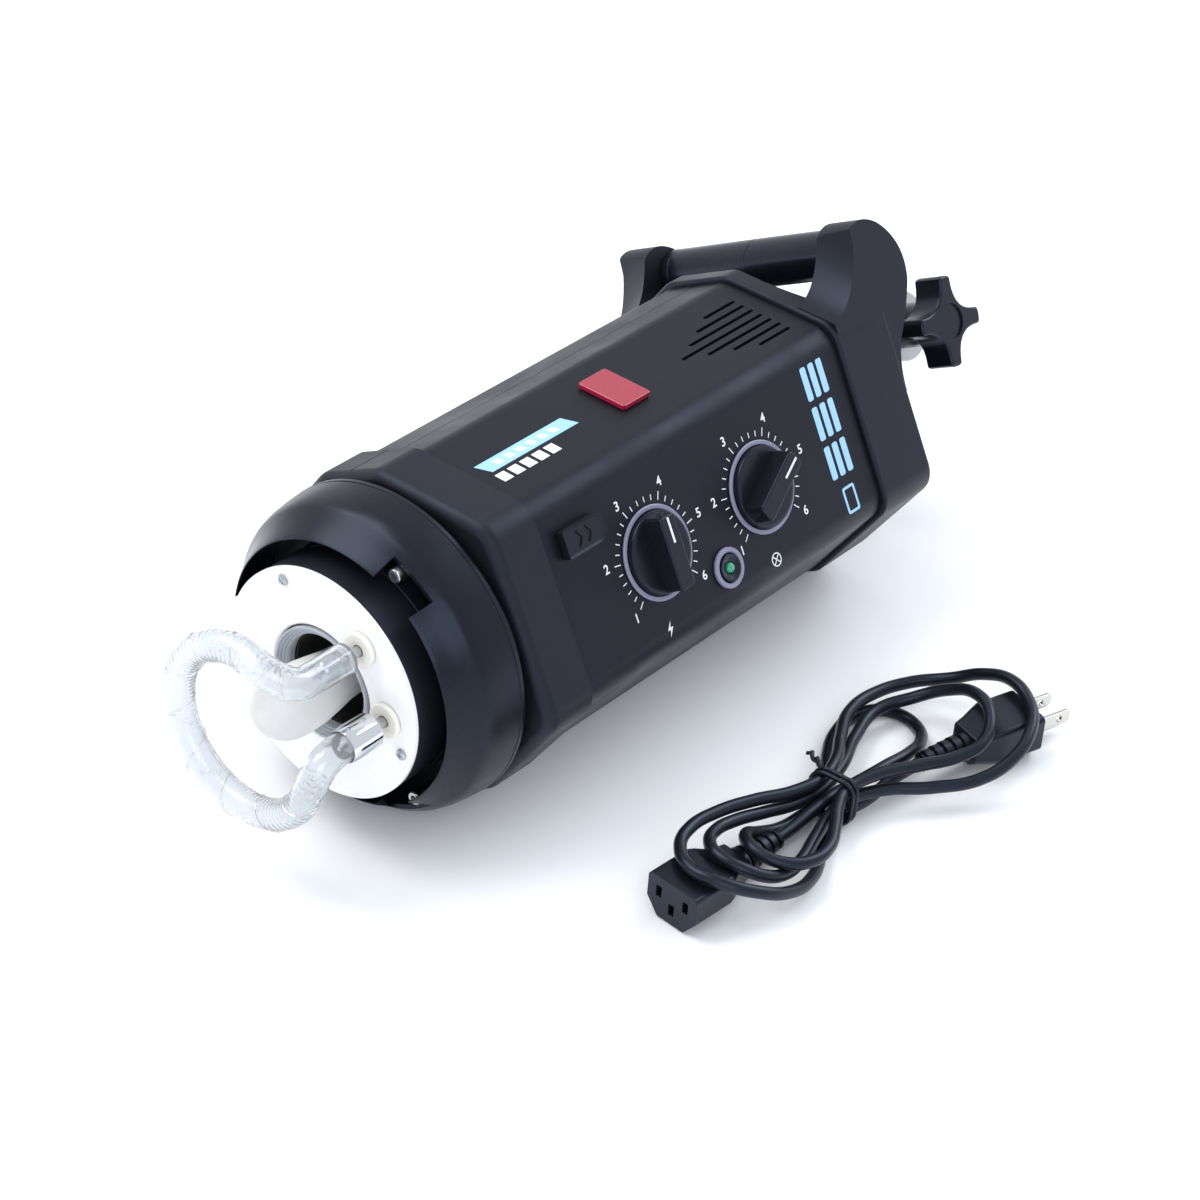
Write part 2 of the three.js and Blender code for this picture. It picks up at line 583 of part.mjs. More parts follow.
// The origin is under the middle of the lamp's own box, on the surface it lies on.
const model = new THREE.Group();
model.add(head, cordGroup);
model.updateMatrixWorld(true);
const bounds = new THREE.Box3().setFromObject(head, true);
model.position.set(-(bounds.min.x + bounds.max.x) / 2, -(bounds.min.y + bounds.max.y) / 2, -bounds.min.z);

export default model;
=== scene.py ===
import json
import math

import bpy
from mathutils import Matrix, Vector


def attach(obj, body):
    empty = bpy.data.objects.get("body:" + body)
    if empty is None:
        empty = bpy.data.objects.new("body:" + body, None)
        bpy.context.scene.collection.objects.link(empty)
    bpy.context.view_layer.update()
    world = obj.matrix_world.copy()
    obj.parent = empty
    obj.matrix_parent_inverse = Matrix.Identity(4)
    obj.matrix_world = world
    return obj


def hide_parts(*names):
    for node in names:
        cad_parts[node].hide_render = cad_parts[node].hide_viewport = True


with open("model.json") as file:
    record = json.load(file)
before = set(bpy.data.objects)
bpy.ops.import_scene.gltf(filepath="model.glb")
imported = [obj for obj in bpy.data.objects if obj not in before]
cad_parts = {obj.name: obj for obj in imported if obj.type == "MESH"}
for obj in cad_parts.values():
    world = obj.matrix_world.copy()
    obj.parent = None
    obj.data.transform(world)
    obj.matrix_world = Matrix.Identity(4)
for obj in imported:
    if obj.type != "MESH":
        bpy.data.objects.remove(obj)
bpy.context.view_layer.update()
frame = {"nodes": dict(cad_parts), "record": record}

# A studio flash head lying on its slanted side, its tied mains cord beside it. Sizes are in
# millimetres; MM turns them into metres. "Lamp" coordinates are the lamp's own: x forward along its
# axis, y out of the control panel, z towards the carry handle.
MM = 0.001
ROLL = math.radians(28)
HALF = 70.0
FACE = 67.5  # the covers' flats
RING_LIP = 9.5  # the accessory ring's lip behind the reflector plate
ring_mount = next(m for m in frame["record"]["mounts"] if m["name"] == "accessory_ring")
LAMP_AT = Vector(ring_mount["pos_m"]) + Vector((RING_LIP * MM, 0, 0))
GROUND_AT = Vector((LAMP_AT.x, LAMP_AT.y, 0))
LAMP_TO_ROW = Matrix.Translation(LAMP_AT) @ Matrix.Rotation(ROLL, 4, "X")


# ---------------------------------------------------------------- camera and cord
def aim_camera():
    """A long lens above and in front of the panel side."""
    right = Vector((-0.6456, 0.7004, -0.3043))
    down = Vector((0.4087, -0.0197, -0.9125))
    forward = Vector((-0.6451, -0.7134, -0.2736))
    turn = Matrix((right, -down, -forward)).transposed().to_4x4()
    data = bpy.data.cameras.new("camera")
    data.sensor_width = 36
    data.lens = 100.94
    camera = bpy.data.objects.new("camera", data)
    place = LAMP_TO_ROW @ Matrix.Translation(Vector((764.9, 1015.7, 356.8)) * MM)
    camera.matrix_world = place @ turn
    bpy.context.collection.objects.link(camera)
    bpy.context.scene.camera = camera


CORD_D = 5.4
CONNECTOR = {"at": (-50.6, 141.5), "turn": -4}
PLUG = {"at": (-214, 165), "turn": -17}
TIE_X = -149
CORD_ROUTE = [
    # out of the connector and through the tie
    (-112.5, 145.9, 10), (-120, 146.2, 10.2), (-135, 146.2, 11.2), (-149, 146.2, 11.5),
    # first coil at the plug end, the lowest
    (-166, 148.3, 11.3), (-182, 149.5, 10.5), (-198, 149.5, 8), (-212, 146, 5),
    (-220.5, 138.5, 3.1), (-223, 129, 2.9), (-219.5, 119.5, 2.9), (-208.5, 114, 2.9),
    (-194, 115, 2.9), (-178, 122.5, 3.2), (-163, 133.5, 4.5), (-149, 140.2, 5.6),
    # third coil at the connector end, over the relief
    (-135, 141, 5.8), (-121, 140.6, 7.4), (-108, 139.2, 12), (-98, 140.5, 17.8), (-91.5, 146.5, 20.4),
    (-89.8, 154.5, 20.2), (-94, 163.5, 18.6), (-103.5, 169, 17.2), (-115.5, 168.8, 16.6),
    (-128, 162.6, 16.7), (-138, 156.3, 17.2), (-149, 152.2, 17.4),
    # second coil at the plug end
    (-165, 155.5, 18.5), (-182, 165, 19), (-198, 174, 20), (-211, 176.5, 22), (-223.5, 170.5, 25.4),
    (-232, 157, 25.2), (-233, 143, 19), (-226, 130.5, 11.8), (-212, 123, 9.2), (-190, 127.5, 9.5),
    (-168, 136.5, 11), (-149, 140.2, 11.5),
    # second coil at the connector end
    (-133, 138.8, 12.2), (-117, 134.8, 14.6), (-102, 131.7, 17.4), (-89, 131.8, 19.8),
    (-79.5, 136.5, 21.7), (-75.2, 145, 22.3), (-77, 154.5, 20.9), (-84.5, 161.8, 16.6),
    (-95, 163.6, 12.8), (-108, 161.6, 10.9), (-124, 156.8, 11.1), (-137, 153.3, 11.4),
    (-149, 152.2, 11.5),
    # third coil at the plug end, over the plug
    (-166, 158.5, 11.6), (-182, 173, 12), (-198, 185, 14), (-214, 190, 19), (-230, 187, 23.6),
    (-243, 177, 25.2), (-250, 163, 25.6), (-251, 149, 21), (-247, 135, 13.5), (-237, 122, 9.8),
    (-220, 114.8, 9), (-200, 116.5, 11), (-180, 126.5, 14), (-163, 136.5, 16.8), (-149, 140.2, 17.4),
    # first coil at the connector end, over the connector
    (-133, 137.6, 17.9), (-115, 130.8, 19.8), (-97, 126.2, 21.6), (-80, 125.6, 22.8),
    (-67.5, 131, 23.4), (-60.5, 142, 23.4), (-62, 155, 23.2), (-72.5, 166.5, 18.6), (-89, 171, 11.4),
    (-107, 168.5, 6.8), (-125, 160, 5.6), (-138, 154.6, 5.5), (-149, 152.2, 5.6),
    # into the plug's relief
    (-163, 154.2, 6.4), (-179, 155.9, 9.4), (-193, 158.6, 11.0),]


def cord_curve():
    """The round lead as one smooth line through its route."""
    data = bpy.data.curves.new("mains_cord_lead", "CURVE")
    data.dimensions = "3D"
    data.bevel_depth = CORD_D / 2 * MM
    data.bevel_resolution = 6
    data.resolution_u = 12
    data.use_fill_caps = True
    line = data.splines.new("BEZIER")
    line.bezier_points.add(len(CORD_ROUTE) - 1)
    for point, spot in zip(line.bezier_points, CORD_ROUTE):
        point.co = Vector(spot) * MM + GROUND_AT
        point.handle_left_type = point.handle_right_type = "AUTO"
    lead = bpy.data.objects.new("mains_cord_lead", data)
    bpy.context.collection.objects.link(lead)
    return lead


aim_camera()
lead = cord_curve()


# ---------------------------------------------------------------- hand tools
def rest():
    """Nothing selected, nothing in edit mode."""
    if bpy.context.mode != "OBJECT":
        bpy.ops.object.mode_set(mode="OBJECT")
    bpy.ops.object.select_all(action="DESELECT")


def hold(obj):
    """Only this piece is selected and active."""
    rest()
    obj.select_set(True)
    bpy.context.view_layer.objects.active = obj
    return obj


def edit(obj, pick=None):
    """Opens a piece in edit mode with the faces that pick(centre, normal) chooses, or all of it."""
    hold(obj)
    bpy.ops.object.mode_set(mode="EDIT")
    bpy.ops.mesh.select_mode(type="FACE")
    bpy.ops.mesh.select_all(action="SELECT" if pick is None else "DESELECT")
    if pick is not None:
        bpy.ops.object.mode_set(mode="OBJECT")
        for face in obj.data.polygons:
            face.select = pick(face.center / MM, face.normal)
        bpy.ops.object.mode_set(mode="EDIT")
    return obj


def start(name, points, edges=(), faces=()):
    """A new piece from points in millimetres."""
    rest()
    mesh = bpy.data.meshes.new(name)
    mesh.from_pydata([Vector(p) * MM for p in points], edges, faces)
    obj = bpy.data.objects.new(name, mesh)
    bpy.context.collection.objects.link(obj)
    return obj


AXES = {"X": Vector((1, 0, 0)), "Y": Vector((0, 1, 0)), "Z": Vector((0, 0, 1))}


def close_up():
    """Turns every face of the piece in hand outwards and leaves edit mode."""
    bpy.ops.mesh.select_all(action="SELECT")
    bpy.ops.mesh.normals_make_consistent(inside=False)
    rest()


def turned(name, profile, axis="X", centre=(0, 0, 0), steps=96, ring=False):
    """A piece turned on a lathe: (along, radius) pairs spun about an axis through centre."""
    along, out = AXES[axis], AXES["Z" if axis == "Y" else "Y"]
    points = [Vector(centre) + along * a + out * r for a, r in profile]
    edges = [(i, i + 1) for i in range(len(points) - 1)]
    if ring:
        edges.append((len(points) - 1, 0))
    obj = start(name, points, edges)
    hold(obj)
    bpy.ops.object.mode_set(mode="EDIT")
    bpy.ops.mesh.select_all(action="SELECT")
    bpy.ops.mesh.spin(steps=steps, angle=math.tau, center=Vector(centre) * MM, axis=along)
    bpy.ops.mesh.select_all(action="SELECT")
    bpy.ops.mesh.remove_doubles(threshold=0.00001)
    bpy.ops.mesh.normals_make_consistent(inside=False)
    rest()
    return obj


def pressed(name, outline, axis, low, high):
    """A flat outline in the two other axes, drawn out along an axis from low to high."""
    spots = {"X": lambda p: (low, p[0], p[1]), "Y": lambda p: (p[0], low, p[1]),
        "Z": lambda p: (p[0], p[1], low)}
    obj = start(name, [spots[axis](p) for p in outline], faces=[list(range(len(outline)))])
    edit(obj)
    bpy.ops.mesh.extrude_region_move(TRANSFORM_OT_translate={"value": AXES[axis] * (high - low) * MM})
    close_up()
    return obj


def rounded(corners, radii, steps=8):
    """An outline whose corners are true arcs."""
    out = []
    count = len(corners)
    for i, corner in enumerate(corners):
        radius = radii[i] if isinstance(radii, (list, tuple)) else radii
        here = Vector(corner)
        back = (Vector(corners[i - 1]) - here).normalized()
        ahead = (Vector(corners[(i + 1) % count]) - here).normalized()
        if radius < 0.01:
            out.append(tuple(here))
            continue
        half_angle = back.angle(ahead) / 2
        middle = here + (back + ahead).normalized() * (radius / math.sin(half_angle))
        run = radius / math.tan(half_angle)
        first, last = here + back * run - middle, here + ahead * run - middle
        sweep = first.angle_signed(last)
        for k in range(steps + 1):
            spoke = first.copy()
            spoke.rotate(Matrix.Rotation(-sweep * k / steps, 2))
            out.append(tuple(middle + spoke))
    return out


def octagon(half, side_radius=13, top_radius=12, steps=8):
    """The head's section in (y, z): flat top, bottom and sides, four long slanted faces."""
    top = half * math.tan(ROLL / 2)
    side = half * math.tan(math.pi / 4 - ROLL / 2)
    corners = [(top, half), (-top, half), (-half, side), (-half, -side),
        (-top, -half), (top, -half), (half, -side), (half, side)]
    t, s = top_radius, side_radius
    return rounded(corners, [t, t, s, s, t, t, s, s], steps)


def apply(obj, kind, **settings):
    """Adds a modifier with its settings and applies it."""
    hold(obj)
    modifier = obj.modifiers.new("step", kind)
    for key, value in settings.items():
        setattr(modifier, key, value)
    bpy.ops.object.modifier_apply(modifier=modifier.name)
    return obj


def eased(obj, width, segments=3, angle=30):
    """Breaks every sharp edge of a piece."""
    return apply(obj, "BEVEL", width=width * MM, segments=segments, limit_method="ANGLE",
        angle_limit=math.radians(angle), use_clamp_overlap=True, harden_normals=False)


def carved(obj, *cutters):
    """Cuts pieces out of a piece and throws the cutters away."""
    for cutter in cutters:
        apply(obj, "BOOLEAN", operation="DIFFERENCE", solver="EXACT", object=cutter)
        bpy.data.objects.remove(cutter)
    return obj


def moved(obj, matrix):
    """Moves a piece's own points, with lengths of the matrix in millimetres."""
    shift = matrix.copy()
    shift.translation = shift.translation * MM
    obj.data.transform(shift)
    return obj


def joined(name, *objs):
    hold(objs[0])
    for obj in objs:
        obj.select_set(True)
    bpy.ops.object.join()
    objs[0].name = name
    return objs[0]


def copy_of(node, name):
    """A CAD node's shape as a piece of its own, its loose triangles merged first."""
    obj = bpy.data.objects.new(name, frame["nodes"][node].data.copy())
    bpy.context.collection.objects.link(obj)
    obj.data.materials.clear()
    edit(obj)
    bpy.ops.mesh.remove_doubles(threshold=0.00001)
    bpy.ops.mesh.select_all(action="SELECT")
    bpy.ops.mesh.dissolve_limited(angle_limit=math.radians(1))
    rest()
    return obj


def fitted(obj, finish, body, nodes=(), matrix=LAMP_TO_ROW, smooth=35):
    """Puts a finished piece in its place, gives it its finish and its body."""
    rest()
    obj.data.transform(matrix)
    if smooth:
        hold(obj)
        bpy.ops.object.shade_smooth_by_angle(angle=math.radians(smooth))
        # flats keep flat light although their corners are rounded
        apply(obj, "WEIGHTED_NORMAL", keep_sharp=True, weight=100)
    obj.data.materials.clear()
    for one in finish if isinstance(finish, (list, tuple)) else [finish]:
        obj.data.materials.append(one)
    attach(obj, body)
    if nodes:
        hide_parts(*nodes)
    return obj


# ---------------------------------------------------------------- finishes
def linear(code):
    """An sRGB hex colour as linear RGBA."""
    parts = [int(code[i:i + 2], 16) / 255 for i in (1, 3, 5)]
    return tuple(p / 12.92 if p <= 0.04045 else ((p + 0.055) / 1.055) ** 2.4 for p in parts) + (1,)


def add(tree, kind, links=None, values=None, **settings):
    """One node with its settings, its own values and its links."""
    node = tree.nodes.new(kind)
    for key, value in settings.items():
        setattr(node, key, value)
    for key, value in (values or {}).items():
        node.inputs[key].default_value = value
    for key, source in (links or {}).items():
        tree.links.new(source, node.inputs[key])
    return node


def finish(name, **values):
    """A new material with its shader's constant values; returns it with its tree and shader."""
    material = bpy.data.materials.new(name)
    material.use_nodes = True
    tree = material.node_tree
    shader = tree.nodes["Principled BSDF"]
    for key, value in values.items():
        shader.inputs[key.replace("_", " ")].default_value = value
    return material, tree, shader


def noise(tree, scale, detail, roughness=0.5):
    """A noise pattern fixed to the piece."""
    place = add(tree, "ShaderNodeTexCoord").outputs["Object"]
    return add(tree, "ShaderNodeTexNoise", {"Vector": place},
        {"Scale": scale, "Detail": detail, "Roughness": roughness})


def two_tone(tree, shader, pattern, dark, light):
    """Colours a shader between two tones by a pattern."""
    tone = add(tree, "ShaderNodeMix", {"Factor": pattern.outputs["Fac"]}, data_type="RGBA")
    tone.inputs[6].default_value = linear(dark)
    tone.inputs[7].default_value = linear(light)
    tree.links.new(tone.outputs[2], shader.inputs["Base Color"])


def grained(name, colour, light, grain_mm, depth_mm, roughness, spread=0.08, sheen=None, **values):
    """A finish with a fine raised grain, and slow changes of colour and gloss."""
    material, tree, shader = finish(name, **values)
    if sheen is not None:
        shader.inputs["Specular IOR Level"].default_value = sheen
        shader.inputs["Specular Tint"].default_value = linear("#c6d0f2")
    grain = noise(tree, 1000 / grain_mm, 3.0, 0.6)
    bump = add(tree, "ShaderNodeBump", {"Height": grain.outputs["Fac"]},
        {"Strength": 0.6, "Distance": depth_mm * MM})
    slow = noise(tree, 28.0, 5.0)
    two_tone(tree, shader, slow, colour, light)
    gloss = add(tree, "ShaderNodeMapRange", {"Value": slow.outputs["Fac"]},
        {"From Min": 0.3, "From Max": 0.7, "To Min": roughness - spread, "To Max": roughness + spread})
    tree.links.new(bump.outputs["Normal"], shader.inputs["Normal"])
    tree.links.new(gloss.outputs["Result"], shader.inputs["Roughness"])
    return material


# Baked textured paint on sheet metal: a tight pebble that breaks the light into a soft grey sheen.
cover_paint = grained("Baked textured paint", "#0d0e12", "#121317", 0.55, 0.05, 0.42,
    sheen=0.32, IOR=1.5)
# Spark-eroded ABS: a finer, duller pebble than the paint.
moulded_abs = grained("Spark-eroded ABS", "#121317", "#17181d", 0.4, 0.03, 0.46, sheen=0.34, IOR=1.53)
# Powder coat on the cast ring: smooth swells with a satin shine.
powder_coat = grained("Satin powder coat", "#0c0d10", "#111216", 0.9, 0.03, 0.3, sheen=0.36, IOR=1.5)
# Polished black ABS: nearly smooth, clear highlights on the grips.
smooth_abs = grained("Half-gloss ABS", "#101116", "#15161b", 1.2, 0.008, 0.27, 0.05,
    sheen=0.4, IOR=1.53)
# Flexible PVC: smooth with a soft highlight, faintly marked by handling.
pvc = grained("Flexible PVC", "#0c0e12", "#12151a", 1.6, 0.012, 0.33, 0.06, sheen=0.42, IOR=1.52)
# Baked enamel on the reflector plate: clean white, a little gloss.
enamel = grained("White baked enamel", "#e9eaea", "#f2f2f0", 1.5, 0.006, 0.28, 0.05, IOR=1.5)
# Heat-resistant silicone: matt pale grey.
silicone = grained("Grey silicone", "#9a9ea6", "#aaaeb5", 0.8, 0.02, 0.55, IOR=1.42)
# Moulded lavender-grey scale ring.
lavender_abs = grained("Lavender-grey ABS", "#77778f", "#83839a", 0.6, 0.015, 0.42, IOR=1.53)
# Unglazed steatite: chalky white with a fine tooth.
steatite = grained("Unglazed steatite", "#e3dfd4", "#eeebe2", 0.5, 0.02, 0.6, IOR=1.6)
# Zinc-plated steel and turned aluminium: bright, faintly clouded metal.
zinc = grained("Zinc-plated steel", "#a9adb1", "#bcc0c3", 0.5, 0.006, 0.3, 0.08, Metallic=1.0)
aluminium = grained("Turned aluminium", "#b4b6b8", "#c6c8c9", 0.4, 0.008, 0.36, 0.08, Metallic=1.0)
nickel = grained("Bright nickel", "#c0bfb8", "#cfcec8", 0.6, 0.004, 0.18, 0.05, Metallic=1.0)
chrome = grained("Mirror chrome", "#d4d8dc", "#dde1e4", 2.0, 0.002, 0.05, 0.02, Metallic=1.0)
# Silk-screened ink: flat colour standing on the paint.
white_ink = grained("White screen ink", "#d8dade", "#e4e6e9", 0.5, 0.01, 0.5, 0.05)
blue_ink = grained("Light blue screen ink", "#8fbfe6", "#9ecbf0", 0.5, 0.01, 0.5, 0.05)
# Painted shade: near-black on the parts inside the head, the dark interior seen through the vents.
shade_black_inside = grained("Near-black painted shade", "#08090a", "#0c0d0f", 0.8, 0.02, 0.6, 0.05)


def clear_glass(name, colour, roughness):
    """Blown quartz: clear, with faint waves drawn along it."""
    material, tree, shader = finish(name, IOR=1.46, Transmission_Weight=0.88, Roughness=roughness)
    shader.inputs["Base Color"].default_value = linear(colour)
    wave = noise(tree, 180.0, 1.0)
    bump = add(tree, "ShaderNodeBump", {"Height": wave.outputs["Fac"]},
        {"Strength": 0.25, "Distance": 0.0002})
    tree.links.new(bump.outputs["Normal"], shader.inputs["Normal"])
    return material


quartz = clear_glass("Clear quartz", "#f4f7fa", 0.03)


def frosted_glass():
    """An acid-frosted bulb: white, soft, a little light passing through."""
    material, tree, shader = finish("Frosted glass", IOR=1.5, Transmission_Weight=0.35, Roughness=0.35)
    frost = noise(tree, 1600.0, 2.0)
    two_tone(tree, shader, frost, "#f4f3ef", "#fdfdfb")
    return material


frosted = frosted_glass()


def red_filter():
    """Deep red polycarbonate with fine moulded ribs behind its face."""
    material, tree, shader = finish("Red polycarbonate", IOR=1.58, Roughness=0.12, Coat_Weight=0.6,
        Coat_Roughness=0.05, Transmission_Weight=0.15)
    place = add(tree, "ShaderNodeTexCoord").outputs["Object"]
    ribs = add(tree, "ShaderNodeTexWave", {"Vector": place}, {"Scale": 330.0, "Distortion": 0.0},
        wave_type="BANDS", bands_direction="X")
    two_tone(tree, shader, ribs, "#8c0a26", "#b5143a")
    return material


red_plastic = red_filter()


def lens_green():
    """Green epoxy of the ready lamp, clouded at random between a dark and a paler green."""
    material, tree, shader = finish("Green epoxy", IOR=1.55, Roughness=0.12, Coat_Weight=0.5,
        Coat_Roughness=0.05)
    cloud = noise(tree, 420.0, 1.0)
    two_tone(tree, shader, cloud, "#0d6b50", "#2fae88")
    return material


green_epoxy = lens_green()


# ---------------------------------------------------------------- accessory ring and lamp front
RING_REAR = -42
NOTCHES = (34, 154, 274)
NOTCH_HALF = 10.5


def wedge(low, high, inner, outer, middle, half, name="wedge"):
    """A sector of a ring about the lamp's axis."""
    def arc(r, sign):
        return [(r * math.cos(math.radians(middle + sign * half * k / 8)),
            r * math.sin(math.radians(middle + sign * half * k / 8))) for k in range(-8, 9)]
    return pressed(name, arc(inner, 1) + arc(outer, -1), "X", low, high)


def accessory_ring():
    profile = [(-42, 69.2), (-41.6, 69.6), (-39.9, 69.6), (-39.7, 69.2), (-39.3, 69.2), (-39.1, 69.5),
        (-33, 69), (-27, 68.1), (-23.5, 67.2), (-21.3, 66), (-18.5, 63.6), (-14.5, 61),
        (-11, 59), (-10, 58.3), (-9.5, 57.9), (-9.6, 57.5), (-12, 57.4), (-15, 57.5),
        (-16, 62), (-36, 62), (-36, 51.2), (-42, 51.2)]
    ring = turned("mount_ring_casting", profile, steps=168, ring=True)
    for notch in NOTCHES:
        tool = wedge(-19, 0, 50, 66.8, notch, NOTCH_HALF)
        apply(ring, "BOOLEAN", operation="DIFFERENCE", solver="FAST", object=tool)
        bpy.data.objects.remove(tool)
    eased(ring, 0.35, 2, 35)
    fitted(ring, powder_coat, "housing", ["mount_ring"])
    for i, angle in enumerate(NOTCHES):
        place = math.radians(angle + 6)
        centre = (0, 58.6 * math.cos(place), 58.6 * math.sin(place))
        screw = turned(f"stop_screw_{i + 1}",
            [(-35.7, 0), (-35.7, 1.9), (-21, 1.9), (-21, 2.8), (-20.7, 3), (-16.4, 3),
            (-16, 2.6), (-16, 0)], centre=centre, steps=32)
        hexagon = [(centre[1] + 1.5 * math.cos(k * math.pi / 3),
            centre[2] + 1.5 * math.sin(k * math.pi / 3))
            for k in range(6)]
        carved(screw, pressed("hex", hexagon, "X", -18.8, -15))
        fitted(screw, nickel if i else zinc, "housing", [f"ring_stop_screw_{i + 1}"])
    collar = turned("lock_collar_ring",
        [(-42.4, 52), (-42.4, 65.6), (-42.8, 66), (-45.2, 66), (-45.4, 65.6), (-45.4, 60.6),
        (-52, 60.6), (-52, 52)], steps=120, ring=True)
    fitted(collar, powder_coat, "housing", ["lock_collar"])


def lamp_front():
    drum = turned("lamp_drum_shell",
        [(-2.4, 49.4), (-2.8, 49.7), (-20, 50), (-20.4, 49.6), (-21, 49.6), (-21.4, 50.1),
        (-41.5, 50.6), (-60, 50.6), (-60, 47.4), (-5, 46.6), (-2.4, 46.6)], steps=128, ring=True)
    fitted(drum, moulded_abs, "housing", ["lamp_drum"])
    plate = turned("reflector_disc",
        [(-0.4, 50), (-0.1, 49.9), (0, 49.6), (0, 27), (-0.2, 26.2), (-0.7, 25.7),
        (-1.4, 25.4), (-2, 25.4), (-2, 50)], steps=128, ring=True)
    holes = [turned("bore", [(-3, 0), (-3, 5.4), (2, 5.4), (2, 0)], centre=(0, 32, z), steps=48)
        for z in (15, -15)]
    carved(plate, *holes)
    fitted(plate, enamel, "housing", ["reflector_plate"])
    for i, angle in enumerate((90, -42, 204)):
        t = math.radians(angle)
        at = (0, 44.8 * math.cos(t), 44.8 * math.sin(t))
        screw = turned(f"plate_screw_head_{i + 1}",
            [(0.25, 0), (0.25, 2.4), (0.7, 2.4), (1.2, 1.9), (1.5, 1), (1.5, 0)], centre=at, steps=32)
        slots = []
        for turn in (25, 115):
            bar = pressed("slot", [(-1.5, -0.25), (1.5, -0.25), (1.5, 0.25), (-1.5, 0.25)], "X", 0.9, 2)
            moved(bar, Matrix.Translation(at) @ Matrix.Rotation(math.radians(turn + 40 * i), 4, "X"))
            slots.append(bar)
        carved(screw, *slots)
        fitted(screw, zinc, "housing", [f"plate_screw_{i + 1}"])
    ribs = []
    for k in range(4):
        out = 24.2 - k * 1.05
        high = 0.6 - k * 0.95
        ribs += [(high, out + 0.35), (high, out - 0.25), (high - 0.8, out - 0.45), (high - 0.85, out - 0.6)]
    seal = turned("lamp_seal_ribs", [(-6, 24.9), (0.2, 24.9)] + ribs + [(-3.6, 20.4), (-6, 20.4)],
        steps=96, ring=True)
    fitted(seal, silicone, "housing", ["lamp_seal_ring"])
    cup = turned("lamp_cup_shell",
        [(-6.4, 24.6), (-6.4, 19.9), (-7, 19.5), (-30, 17.2), (-52, 17.2), (-52, 19),
        (-30, 19.5), (-10, 24.6)], steps=72, ring=True)
    # the cup's near-black is painted shade in the lamp's recess
    fitted(cup, shade_black_inside, "housing", ["lamp_cup"])
    bulb = turned("modelling_bulb",
        [(34, 0), (33.7, 2.6), (32.6, 5.6), (30.6, 8.6), (28, 11), (25, 12.7), (21.5, 13.7),
        (17, 14), (8, 13.8), (0, 12.6), (-8, 11.2), (-20, 10.5), (-20, 0)], steps=72)
    fitted(bulb, frosted, "housing", ["modelling_lamp"])
    cap = [(-20.2, 0), (-20.2, 11.4)]
    for k in range(6):
        cap += [(-22.5 - 3.2 * k, 12.1), (-24.1 - 3.2 * k, 12.7)]
    cap += [(-42.5, 12), (-46, 8), (-48, 4), (-48, 0)]
    fitted(turned("modelling_bulb_cap", cap, steps=48), nickel, "housing")
    base = turned("lamp_socket_body",
        [(-26, 13.2), (-26, 16.2), (-26.4, 16.6), (-55.6, 16.6), (-56, 16.2), (-56, 0),
        (-50, 0), (-50, 13.2)], steps=48)
    fitted(base, steatite, "housing", ["lamp_socket"])


# ---------------------------------------------------------------- flash tube
TUBE_R = 6.5
LOOP_R = 36
LOOP_X = 42
LEG_Y = 32
LEG_Z = (15, -15)


def tube_line():
    """The tube's middle line: up one leg, round the long way, and down the other."""
    up = [(x, LEG_Y, LEG_Z[0]) for x in (9, 18, 26)] + [(35, LEG_Y, LEG_Z[0] * 1.08)]
    down = [(35, LEG_Y, LEG_Z[1] * 1.08)] + [(x, LEG_Y, LEG_Z[1]) for x in (26, 18, 9)]
    loop = []
    for degrees in range(42, 319, 23):
        t = math.radians(degrees)
        loop.append((LOOP_X, LOOP_R * math.cos(t), LOOP_R * math.sin(t)))
    return [Vector(p) for p in up + loop + down]


def smooth_line(points, per=10):
    """A centripetal Catmull-Rom line through points, the same as the CAD path's."""
    out = []
    last = len(points) - 1
    for i in range(last):
        p1, p2 = points[i], points[i + 1]
        p0 = points[i - 1] if i else p1 + (p1 - p2)
        p3 = points[i + 2] if i + 2 <= last else p2 + (p2 - p1)
        d0, d1, d2 = (max((b - a).length, 1e-6) ** 0.5 for a, b in ((p0, p1), (p1, p2), (p2, p3)))
        m1 = ((p1 - p0) / d0 - (p2 - p0) / (d0 + d1) + (p2 - p1) / d1) * d1
        m2 = ((p2 - p1) / d1 - (p3 - p1) / (d1 + d2) + (p3 - p2) / d2) * d1
        for k in range(per):
            t = k / per
            out.append(p1 * (2 * t**3 - 3 * t**2 + 1) + m1 * (t**3 - 2 * t**2 + t)
                + p2 * (3 * t**2 - 2 * t**3) + m2 * (t**3 - t**2))
    return out + [points[-1]]


def drawn(name, points, radius, closed=False, resolution=6, caps=True, swell=None):
    """A round bar or wire along a line, as a mesh; swell(i) scales its radius at each point."""
    rest()
    data = bpy.data.curves.new(name, "CURVE")
    data.dimensions = "3D"
    data.bevel_depth = radius * MM
    data.bevel_resolution = resolution
    data.use_fill_caps = caps
    line = data.splines.new("POLY")
    line.points.add(len(points) - 1)
    for i, (point, spot) in enumerate(zip(line.points, points)):
        point.co = (*(Vector(spot) * MM), 1)
        point.radius = swell(i) if swell else 1
    line.use_cyclic_u = closed
    obj = bpy.data.objects.new(name, data)
    bpy.context.collection.objects.link(obj)
    hold(obj)
    bpy.ops.object.convert(target="MESH")
    obj = bpy.context.active_object
    edit(obj)
    bpy.ops.mesh.remove_doubles(threshold=0.000002)
    close_up()
    return obj


